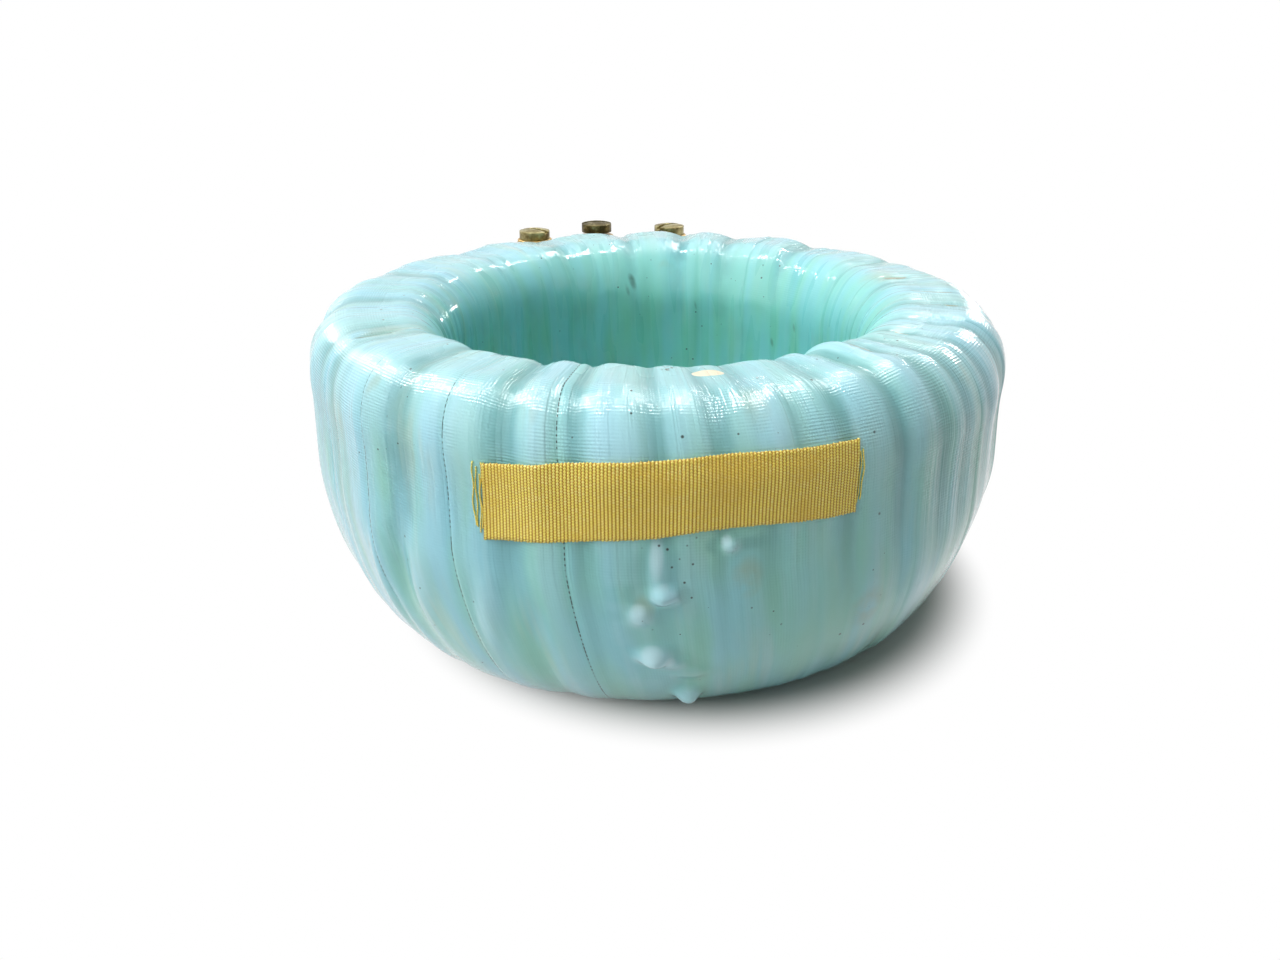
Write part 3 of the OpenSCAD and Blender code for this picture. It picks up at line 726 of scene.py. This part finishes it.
    def relief(self):
        """Weave under the varnish, filled in here and there and clearest over the rim, on a soft drape."""
        height, reach = self.height, self.reach
        warp = (self.turns * (FULL_TURN * LONG_THREADS)).math("SINE")
        filled = self.smooth(self.blot, 0.30, 0.62, 1.0, 0.3) * self.smooth(height, 0.0, 0.016, 0.25, 1.0)
        filled = filled * self.smooth(reach, 0.046, 0.053, 0.2, 1.0)
        weave = (self.threads(CROSS_THREAD) * 0.7 + warp * 0.45) * filled
        ripple = self.noise(self.spot, 330.0, 2.0)
        drape = self.ring_noise(36.0, 0.16, 2.0, 0.6) * self.smooth(height, -0.008, 0.014, 0.14, 1.0)
        drape = drape * self.smooth(reach, 0.040, 0.047, 0.15, 1.0)
        return self.bump(weave, 0.000032, self.bump(ripple, 0.00006, self.bump(drape, 0.00022)))

    def gloss(self):
        """Roughness: the varnish shines where it has pooled, and is duller between on the rim."""
        pools = self.ring_noise(11.0, 0.3, 0.0) - self.smooth(self.reach, 0.043, 0.050, 0.07, 0.0)
        pooled = self.smooth(pools, 0.44, 0.56)
        rough = (0.11 - pooled * 0.05 * self.upper) + (1 - pooled) * self.upper * 0.16
        inner_rim = self.smooth(self.reach, 0.043, 0.050, 0.3, 0.0)
        return rough + (1 - pooled) * inner_rim + self.chip * 0.5


def varnished_tape():
    f = TapeFinish()
    f.feed("Base Color", f.specked(f.dashed(f.aged(f.streaks()))))
    f.feed("Normal", f.relief())
    f.feed("Roughness", f.gloss())
    return f.material


def feel_tape(skin, angle, height):
    """Point of the tape at an angle and a height, met from outside, and the way out from it."""
    x, y, z = on_ring(angle, OUTSIDE_R, height)
    out = Vector((x, y, 0)).normalized()
    return skin.ray_cast(Vector((x, y, z)) * MM, -out)[0], out


def ribbon_seat(skin, angles, tops, bottoms):
    """Radius of the tape under the ribbon, drawn tight over its folds."""
    seat = np.zeros((SEAT_U, SEAT_V))
    for i, a in enumerate(np.linspace(angles[0], angles[-1], SEAT_U)):
        top, bottom = np.interp(a, angles, tops), np.interp(a, angles, bottoms)
        for j, height in enumerate(np.linspace(bottom, top, SEAT_V)):
            hit, _ = feel_tape(skin, a, height)
            seat[i, j] = math.hypot(hit.x, hit.y) / MM
    # The highest of seven places along it, smoothed over thirteen along and three across
    pad = np.pad(seat, ((6, 6), (1, 1)), "edge")
    tight = np.max([pad[k:k + SEAT_U, 1:-1] for k in range(3, 10)], 0)
    pad = np.pad(tight, ((6, 6), (1, 1)), "edge")
    smoothed = np.mean([pad[k:k + SEAT_U, j:j + SEAT_V] for k in range(13) for j in range(3)], 0)
    return np.maximum(smoothed, seat)


def lay_ribbon(material, skin):
    """The woven label: a ribbed strip that lies on the folds of the tape."""
    angles, tops, bottoms = np.array(RIBBON).T
    tight = ribbon_seat(skin, angles, tops, bottoms)
    bm = bmesh.new()
    bmesh.ops.create_grid(bm, x_segments=RIBBON_RIBS * RIB_FACES, y_segments=RIBBON_ROWS, size=0.5)
    uv = bm.loops.layers.uv.new("ribbon")
    for face in bm.faces:
        for loop in face.loops:
            loop[uv].uv = ((loop.vert.co.x + 0.5) * RIBBON_RIBS, (loop.vert.co.y + 0.5) * RIBBON_W)
    flat = np.array([v.co for v in bm.verts])
    u, v = flat[:, 0] + 0.5, flat[:, 1] + 0.5
    swell = np.abs(np.sin(np.pi * u * RIBBON_RIBS)) ** 0.8
    # The ribs end in small loops along both edges
    rib = np.floor(u * RIBBON_RIBS).astype(int) % RIBBON_RIBS
    loops = np.random.default_rng(31).uniform(0.0, LOOP_MORE, (2, RIBBON_RIBS))
    angle = angles[0] + (angles[-1] - angles[0]) * u
    top = np.interp(angle, angles, tops) + swell * (LOOP_OUT + loops[0][rib])
    bottom = np.interp(angle, angles, bottoms) - swell * (LOOP_OUT + loops[1][rib])
    z = bottom + (top - bottom) * v
    ui, vi = u * (SEAT_U - 1), v * (SEAT_V - 1)
    i, j = np.minimum(ui.astype(int), SEAT_U - 2), np.minimum(vi.astype(int), SEAT_V - 2)
    r = between(tight, i, j, i + 1, j + 1, ui - i, vi - j) + RIBBON_T + RIBBON_LIFT
    rim = np.minimum(v, 1 - v) * RIBBON_W
    r += RIB_SWELL * swell * soft_step(rim, -0.1, 0.25) + EDGE_CORD * np.exp(-(rim / 0.5) ** 2)
    turn = np.radians(angle + FRONT)
    places = np.stack([r * np.cos(turn), r * np.sin(turn), z + BASE_Z], 1) * MM
    for vert, place in zip(bm.verts, places):
        vert.co = place
    bmesh.ops.recalc_face_normals(bm, faces=bm.faces)
    middle = bm.faces[:][len(bm.faces) // 2]
    if middle.normal.dot(middle.calc_center_median() * Vector((1, 1, 0))) < 0:
        bmesh.ops.reverse_faces(bm, faces=bm.faces)
    ribbon = piece_from(bm, "label_ribbon_woven", material)
    wall = ribbon.modifiers.new("thickness", "SOLIDIFY")
    wall.thickness, wall.offset = RIBBON_T * MM, -1
    return ribbon


def gold_ribbon():
    """Gold yarn over cross ribs, with painted shade in the gaps between them and painted light on their
    crowns.
    """
    f = Finish("gold_ribbon", Sheen_Weight=0.15, Sheen_Roughness=0.4)
    u, v, _ = f.parts(f.node("ShaderNodeUVMap", {"uv_map": "ribbon"}))
    crown = (u * math.pi).math("SINE").math("ABSOLUTE")
    rib = u.math("FLOOR")
    yarn = (v * (FULL_TURN / YARN) + rib * math.pi).math("SINE")
    cloud = f.noise(f.place(), 120.0, 3.0)
    thread = f.noise(f.vector(rib * 3.7, v * 1.5, 0.0), 1.0, 2.0)
    # Painted light and shade over the ribs: dark in the gaps, bright on the crowns and the yarn's swells
    lit = crown * 0.8 + yarn * 0.22
    colour = f.mix(f.smooth(lit, 0.15, 0.80), RIB_GAP_SHADE, RIB_CREST_LIT)
    # Pale threads, painted as a highlight where the ribs are lit
    colour = f.mix(f.smooth(thread, 0.42, 0.70) * f.smooth(lit, 0.4, 0.9) * 0.6, colour, RIB_THREAD_HIGHLIGHT)
    colour = f.mix(f.smooth(cloud, 0.48, 0.68) * 0.30, colour, RIB_WORN)
    f.feed("Base Color", colour)
    f.feed("Roughness", f.smooth(yarn, -1.0, 1.0, 0.5, 0.38))
    f.feed("Normal", f.bump(yarn, 0.00003, f.bump(thread, 0.00003)))
    return f.material


def fray_threads(material, skin):
    """Loose yarns at the ribbon's cut ends."""
    bm = bmesh.new()
    draw = np.random.default_rng(41)
    for (end, end_top, end_bottom), gaps in ((RIBBON[0], LEFT_YARNS), (RIBBON[-1], RIGHT_YARNS)):
        for gap in gaps:
            top = end_top + draw.uniform(-2.5, 0.3)
            bottom = end_bottom + draw.uniform(-0.3, 2.0)
            bow, curl, phase = draw.uniform(-0.25, 0.25), draw.uniform(0.04, 0.14), draw.uniform(0, 6)
            last = []
            for t in np.linspace(0, 1, YARN_POINTS):
                angle = end + gap + bow * math.sin(math.pi * t) + curl * math.sin(11 * t + phase)
                hit, out = feel_tape(skin, angle, bottom + (top - bottom) * t)
                side = out.cross(Vector((0, 0, 1)))
                middle = hit + out * YARN_LIFT * MM
                loop = [bm.verts.new(middle + (out * math.cos(k) + side * math.sin(k)) * YARN_R * MM)
                        for k in np.linspace(0, FULL_TURN, YARN_SIDES + 1)[:-1]]
                edges = [bm.edges.new(pair) for pair in zip(loop, loop[1:] + loop[:1])]
                if last:
                    bmesh.ops.bridge_loops(bm, edges=last + edges)
                else:
                    bm.faces.new(loop)
                last = edges
            bm.faces.new(loop)
    bmesh.ops.recalc_face_normals(bm, faces=bm.faces)
    uv = bm.loops.layers.uv.new("ribbon")
    for face in bm.faces:
        for loop in face.loops:
            loop[uv].uv = (0.5, loop.vert.co.z / MM)
    return piece_from(bm, "label_ribbon_threads", material)


def turn_about_axis(bm, degrees):
    turn = Matrix.Rotation(math.radians(degrees), 3, "Z")
    bmesh.ops.rotate(bm, verts=bm.verts, cent=(0, 0, 0), matrix=turn)


def to_terminals(part):
    """The same small part at each terminal, built by part(number) around the screw's axis."""
    whole = bmesh.new()
    whole.verts.layers.float.new("age")
    for i, angle in enumerate(TERMINALS):
        bm = part(i)
        bmesh.ops.translate(bm, verts=bm.verts, vec=(SCREW_R, 0, TAB_Z + BASE_Z))
        bmesh.ops.scale(bm, verts=bm.verts, vec=(MM, MM, MM))
        turn_about_axis(bm, angle)
        bmesh.ops.recalc_face_normals(bm, faces=bm.faces)
        age = bm.verts.layers.float.new("age")
        for v in bm.verts:
            v[age] = TERMINAL_AGES[i]
        mesh = bpy.data.meshes.new("part")
        bm.to_mesh(mesh)
        bm.free()
        whole.from_mesh(mesh)
        bpy.data.meshes.remove(mesh)
    return whole


def spun(bm, outline, steps):
    """A closed turned shape from its outline of radius and height."""
    line = [bm.verts.new((r, 0, z)) for r, z in outline]
    edges = [bm.edges.new(pair) for pair in zip(line, line[1:])]
    bmesh.ops.spin(bm, geom=line + edges, cent=(0, 0, 0), axis=(0, 0, 1), angle=FULL_TURN, steps=steps,
                   use_merge=True)
    bmesh.ops.remove_doubles(bm, verts=bm.verts, dist=1e-4)


def round_edges(bm, least_angle, size):
    sharp = [e for e in bm.edges if len(e.link_faces) == 2 and e.calc_face_angle(0) > least_angle]
    bmesh.ops.bevel(bm, geom=sharp, offset=size, offset_type="OFFSET", segments=2, profile=0.5,
                    affect="EDGES", clamp_overlap=True, material=-1)


def slotted_screw(i):
    bm = bmesh.new()
    bmesh.ops.create_circle(bm, cap_ends=True, segments=48, radius=HEAD_R)
    # The cuts bound the slot and let the top bend into a dome
    cuts = [((1, 0, 0), x) for x in (-2.9, -2.0, -1.2, -SLOT_W / 2, SLOT_W / 2, 1.2, 2.0, 2.9)]
    cuts += [((0, 1, 0), y) for y in (-3.0, -2.1, -1.1, 0, 1.1, 2.1, 3.0)]
    for normal, at in cuts:
        bmesh.ops.bisect_plane(bm, geom=bm.verts[:] + bm.edges[:] + bm.faces[:], dist=1e-5,
                               plane_co=Vector(normal) * at, plane_no=normal)
    floor_z, rim_z = HEAD_H - SLOT_DEPTH, HEAD_H - DOME_H

    def raise_faces(faces, by):
        grown = bmesh.ops.extrude_face_region(bm, geom=faces)["geom"]
        bmesh.ops.delete(bm, geom=faces, context="FACES_ONLY")
        verts = new_points(grown)
        bmesh.ops.translate(bm, verts=verts, vec=(0, 0, by))
        return [g for g in grown if isinstance(g, bmesh.types.BMFace)], verts

    top, _ = raise_faces(bm.faces[:], floor_z)
    beside_slot = [g for g in top if abs(g.calc_center_median().x) > SLOT_W / 2]
    _, verts = raise_faces(beside_slot, rim_z - floor_z)
    for v in verts:
        v.co.z += DOME_H * (1 - (v.co.x ** 2 + v.co.y ** 2) / HEAD_R ** 2)
    bmesh.ops.holes_fill(bm, edges=[e for e in bm.edges if e.is_boundary])
    bmesh.ops.recalc_face_normals(bm, faces=bm.faces)
    round_edges(bm, 0.6, HEAD_ROUND)
    turn_about_axis(bm, FIRST_SLOT + NEXT_SLOT * i)
    add_thread(bm)
    bmesh.ops.translate(bm, verts=bm.verts, vec=(0, 0, WASHER_T + SCREW_SLACK[i]))
    return bm


def add_thread(bm):
    """A shank with a closed ridge wound around it."""
    root = SHANK_R - THREAD_DEPTH
    shank = ((0, 0.3), (root, 0.3), (root, -SHANK_L + 0.4), (root - 0.4, -SHANK_L), (0, -SHANK_L))
    spun(bm, shank, THREAD_STEPS)
    foot, half, first_z = root - 0.04, THREAD * 0.45, -0.3
    profile = ((foot, 0, first_z - half), (SHANK_R, 0, first_z), (foot, 0, first_z + half))
    ridge = [bm.verts.new(p) for p in profile]
    edges = [bm.edges.new(pair) for pair in zip(ridge, ridge[1:] + ridge[:1])]
    turns = int((SHANK_L - 0.9) / THREAD)
    end = bmesh.ops.spin(bm, geom=ridge + edges, cent=(0, 0, 0), axis=(0, 0, 1), angle=FULL_TURN * turns,
                         steps=THREAD_STEPS * turns, dvec=(0, 0, -THREAD / THREAD_STEPS))["geom_last"]
    bm.faces.new(ridge)
    bm.faces.new(new_points(end))


def round_washer(_):
    bm = bmesh.new()
    hole, b = SHANK_R + WASHER_ROOM, WASHER_EDGE
    spun(bm, ((hole, b), (hole + b, 0), (WASHER_R - b, 0), (WASHER_R, b), (WASHER_R, WASHER_T - b),
              (WASHER_R - b, WASHER_T), (hole + b, WASHER_T), (hole, WASHER_T - b), (hole, b)), 48)
    return bm


def hex_nut(_):
    bm = bmesh.new()
    half, hole = NUT_AF / 2, SHANK_R + NUT_ROOM
    top, bottom = -TAB_T, -TAB_T - NUT_T
    bmesh.ops.create_circle(bm, cap_ends=False, segments=36, radius=hole)
    bmesh.ops.translate(bm, verts=bm.verts, vec=(0, 0, top))

    def outline(a):
        """Radius and height of the nut's outline at an angle, from its top over the flats to its hole."""
        flat = half / math.cos((a % (math.pi / 3)) - math.pi / 6)
        fall = 0.12 + 0.6 * (flat - half)
        return ((half - NUT_FACE, top), (flat, top - fall), (flat, bottom + fall), (half - NUT_FACE, bottom),
                (hole, bottom))

    first = edges = bm.edges[:]
    for k in range(len(outline(0))):
        grown = bmesh.ops.extrude_edge_only(bm, edges=edges)["geom"]
        verts = set(new_points(grown))
        for v in verts:
            a = math.atan2(v.co.y, v.co.x)
            radius, height = outline(a)[k]
            v.co = (radius * math.cos(a), radius * math.sin(a), height)
        edges = [e for e in new_edges(grown) if set(e.verts) <= verts]
    bmesh.ops.bridge_loops(bm, edges=first + edges)
    return bm


def bent_tab(_):
    """Brass strip with a round end, bent down under the tape."""
    bm = bmesh.new()
    half = TAB_W / 2
    hole = bmesh.ops.create_circle(bm, cap_ends=False, segments=48, radius=SHANK_R + TAB_ROOM)["verts"]
    edges = list({e for v in hole for e in v.link_edges})
    for v in new_points(bmesh.ops.extrude_edge_only(bm, edges=edges)["geom"]):
        a = math.atan2(v.co.y, v.co.x)
        c, s = math.cos(a), math.sin(a)
        k = half if c >= -1e-6 else half / max(abs(c), abs(s))
        v.co.x, v.co.y = k * c, k * s
    bend_x = LEG_R + TAB_T + TAB_BEND_R - SCREW_R

    def draw_out(edges, vec):
        grown = bmesh.ops.extrude_edge_only(bm, edges=edges)["geom"]
        bmesh.ops.translate(bm, verts=new_points(grown), vec=vec)
        return [e for e in new_edges(grown) if e.is_boundary and all(v in grown for v in e.verts)]

    end = [e for e in bm.edges if all(abs(v.co.x + half) < 1e-4 for v in e.verts)]
    end = draw_out(end, (bend_x + half, 0, 0))
    end = [e for e in end if all(abs(v.co.x - bend_x) < 1e-4 for v in e.verts)]
    verts = list({v for e in end for v in e.verts})
    bend = bmesh.ops.spin(bm, geom=verts + end, cent=(bend_x, 0, -TAB_T - TAB_BEND_R), axis=(0, 1, 0),
                          angle=-math.pi / 2, steps=6)["geom_last"]
    draw_out(new_edges(bend), (0, 0, -(TAB_LEG - TAB_T - TAB_BEND_R)))
    bmesh.ops.remove_doubles(bm, verts=bm.verts, dist=1e-4)
    bmesh.ops.recalc_face_normals(bm, faces=bm.faces)
    top_middle = Vector((bend_x / 2, 0, 0))

    def off_top_middle(face):
        off = face.calc_center_median() - top_middle
        return abs(off.x) + abs(off.z)

    if min(bm.faces, key=off_top_middle).normal.z < 0:
        bmesh.ops.reverse_faces(bm, faces=bm.faces)
    bmesh.ops.solidify(bm, geom=bm.faces[:], thickness=TAB_T)
    round_edges(bm, 0.9, TAB_ROUND)
    return bm


def aged_brass(name, bright, dull, dark):
    """Brass gone brown in patches, more so on the older pieces."""
    f = Finish(name, Metallic=1.0)
    spot = f.place()
    cloud, grain = f.noise(spot, 520.0, 4.0, 0.6), f.noise(spot, 2600.0, 2.0)
    age = f.attribute("age")
    colour = f.mix(f.smooth(cloud + age * 0.35, 0.45, 0.85), bright, dull)
    colour = f.mix(f.smooth(cloud * 0.6 + grain * 0.2 + age * 0.5, 0.65, 1.0), colour, dark)
    f.feed("Base Color", colour)
    f.feed("Roughness", f.smooth(cloud + age * 0.2, 0.3, 0.9, 0.26, 0.55))
    f.feed("Normal", f.bump(grain, 0.00001, f.bump(cloud, 0.00003)))
    return f.material


def plain_finish(name, colour, dark, metallic=0.0, rough=0.5, scale=300.0, wind=None):
    """Finish of a layer under the tape; wind sets how close its wires or threads lie around the ring."""
    f = Finish(name, Metallic=metallic)
    spot = f.place()
    cloud = f.noise(spot, scale, 4.0, 0.6)
    share = f.smooth(cloud, 0.35, 0.7)
    relief = cloud
    if wind:
        x, y, _ = f.parts(spot)
        ridge = (x.math("ARCTAN2", y) * (0.06 / (wind * MM))).math("SINE").math("ABSOLUTE")
        # Darker in the grooves between the wires or threads: painted shade
        share, relief = share * 0.5 + (1 - ridge) * 0.5, ridge
    f.feed("Base Color", f.mix(share, colour, dark))
    f.feed("Roughness", f.smooth(cloud, 0.3, 0.7, rough - 0.1, rough + 0.1))
    f.feed("Normal", f.bump(relief, 0.00005))
    return f.material


def set_camera():
    data = bpy.data.cameras.new("camera")
    data.sensor_width, data.lens = SENSOR, SENSOR * FOCAL_PIXELS / PHOTO_WIDTH
    data.clip_start = 0.01
    camera = bpy.data.objects.new("camera", data)
    scene.collection.objects.link(camera)
    camera.location = CAMERA_PLACE
    camera.rotation_euler = Vector(CAMERA_AIM).to_track_quat("-Z", "Y").to_euler()
    scene.camera = camera


def area_lamp(name, place, size, power, shines=True, lights=True):
    """A square lamp that looks at the ring; shines is what gloss shows of it, lights is the rest."""
    lamp = bpy.data.lights.new(name, "AREA")
    lamp.shape, lamp.size, lamp.energy = "SQUARE", size, power
    obj = bpy.data.objects.new(name, lamp)
    scene.collection.objects.link(obj)
    obj.location = place
    obj.rotation_euler = (-Vector(place)).to_track_quat("-Z", "Y").to_euler()
    obj.visible_glossy, obj.visible_diffuse = shines, lights


def set_lamps():
    above = (-0.08, -0.03, 0.78)
    area_lamp("top_light", above, 0.12, 3.0, shines=False)
    area_lamp("top_glint", above, 0.10, 0.8, lights=False)
    area_lamp("left_light", (-0.75, -0.30, 0.50), 0.8, 6.0, shines=False)
    area_lamp("front_light", (-0.30, -1.00, 0.45), 0.9, 0.4, shines=False)
    # An arch of small lamps from the back left over the ring to the back right, seen only in gloss
    for i, (around, up, size) in enumerate(ARCH):
        a, e = math.radians(around + FRONT), math.radians(up)
        place = math.cos(a) * math.cos(e), math.sin(a) * math.cos(e), math.sin(e)
        area_lamp(f"arch_{i}", place, size * ARCH_SPREAD, ARCH_POWER * size ** 2, lights=False)


def seen_directly(shader):
    """1 where the eye or a gloss sees a surface, 0 for the light that it gives."""
    path = shader.node("ShaderNodeLightPath", output="Is Camera Ray")
    return path.math("MAXIMUM", path.beside("Is Glossy Ray"))


def set_studio():
    """A white world, whose light is stronger from above than from the sides."""
    world = bpy.data.worlds.new("studio")
    scene.world = world
    world.use_nodes = True
    sky = Shader(world.node_tree)
    _, _, up = sky.parts(sky.node("ShaderNodeTexCoord", output="Generated"))
    dome = sky.node("ShaderNodeMapRange", None, {"Value": up, "To Min": SIDE_SKY, "To Max": TOP_SKY})
    level = sky.node("ShaderNodeMapRange", None, {"Value": seen_directly(sky), "To Min": dome, "To Max": 1.0})
    back = sky.tree.nodes["Background"]
    sky.fill(back.inputs["Color"], WHITE)
    sky.fill(back.inputs["Strength"], level)


def lay_floor():
    """A pale floor that goes over into white away from the ring's shadow."""
    bm = bmesh.new()
    bmesh.ops.create_grid(bm, x_segments=1, y_segments=1, size=FLOOR_SIZE)
    bmesh.ops.translate(bm, verts=bm.verts, vec=(0, 0, BASE_Z * MM))
    f = Finish("floor", Roughness=0.9, Specular_IOR_Level=0.1)
    seen = seen_directly(f)
    f.feed("Base Color", f.mix(seen, FLOOR_GREY, FLOOR_SEEN))
    off = f.vmath("SUBTRACT", f.place(), SHADOW_MIDDLE)
    far = f.smooth(f.vmath("LENGTH", off, output=1), *SHADOW_ENDS)
    glow = f.node("ShaderNodeEmission", None, {"Color": WHITE})
    shown = f.node("ShaderNodeMixShader", None, (far * seen, Wire(f, f.surface.outputs[0]), glow))
    f.fill(f.tree.nodes["Material Output"].inputs["Surface"], shown)
    piece_from(bm, "floor", f.material, smooth=False)


set_camera()
set_lamps()
set_studio()
lay_floor()

tape, skin = wrap_tape(varnished_tape())
dress(tape, "varnished_tape", "tape_wrap")

gold = gold_ribbon()
ribbon, threads = lay_ribbon(gold, skin), fray_threads(gold, skin)
dress(ribbon, "ribbon", "label_ribbon")
dress(threads, "ribbon")

tab_brass = aged_brass("tab_brass", srgb(206, 178, 116), srgb(162, 132, 78), srgb(96, 76, 46))
screw_brass = aged_brass("screw_brass", srgb(178, 170, 124), srgb(116, 104, 66), srgb(56, 50, 30))
for part, name, slot, node, finish in (
        (slotted_screw, "terminal_screws_slotted", "screw_brass", "terminal_screws", screw_brass),
        (round_washer, "terminal_washers_round", "tab_brass", "terminal_washers", tab_brass),
        (hex_nut, "terminal_nuts_hex", "tab_brass", "terminal_nuts", tab_brass)):
    piece = piece_from(to_terminals(part), name, finish)
    dress(piece, slot, node)
tabs = piece_from(to_terminals(bent_tab), "terminal_tabs_bent", tab_brass)
dress(tabs, "tab_brass", "terminal_tab_1", "terminal_tab_2", "terminal_tab_3")

copper = plain_finish("enamelled_copper", srgb(176, 96, 52), srgb(116, 56, 30), 0.6, 0.35, wind=0.8)
cotton = plain_finish("cotton_tape", srgb(226, 218, 192), srgb(196, 184, 152), 0.0, 0.85, 900.0, wind=0.5)
board = plain_finish("pressboard", srgb(196, 170, 128), srgb(158, 130, 92), 0.0, 0.8, 700.0)
steel = plain_finish("core_steel", srgb(126, 128, 134), srgb(92, 94, 100), 1.0, 0.4, 400.0)
wire = plain_finish("copper_wire", srgb(200, 118, 70), srgb(150, 80, 44), 1.0, 0.3, 800.0)
tin = plain_finish("solder", srgb(186, 188, 190), srgb(136, 138, 142), 1.0, 0.4, 900.0)
for node, finish in (("core", steel), ("core_insulation", board), ("inner_winding", copper),
                     ("interlayer_tape", cotton), ("outer_winding", copper), ("padding_tape", cotton),
                     ("terminal_pad", board), ("lead_1", wire), ("lead_2", wire), ("lead_3", wire),
                     ("solder_joints", tin)):
    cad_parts[node].material_slots[0].material = finish
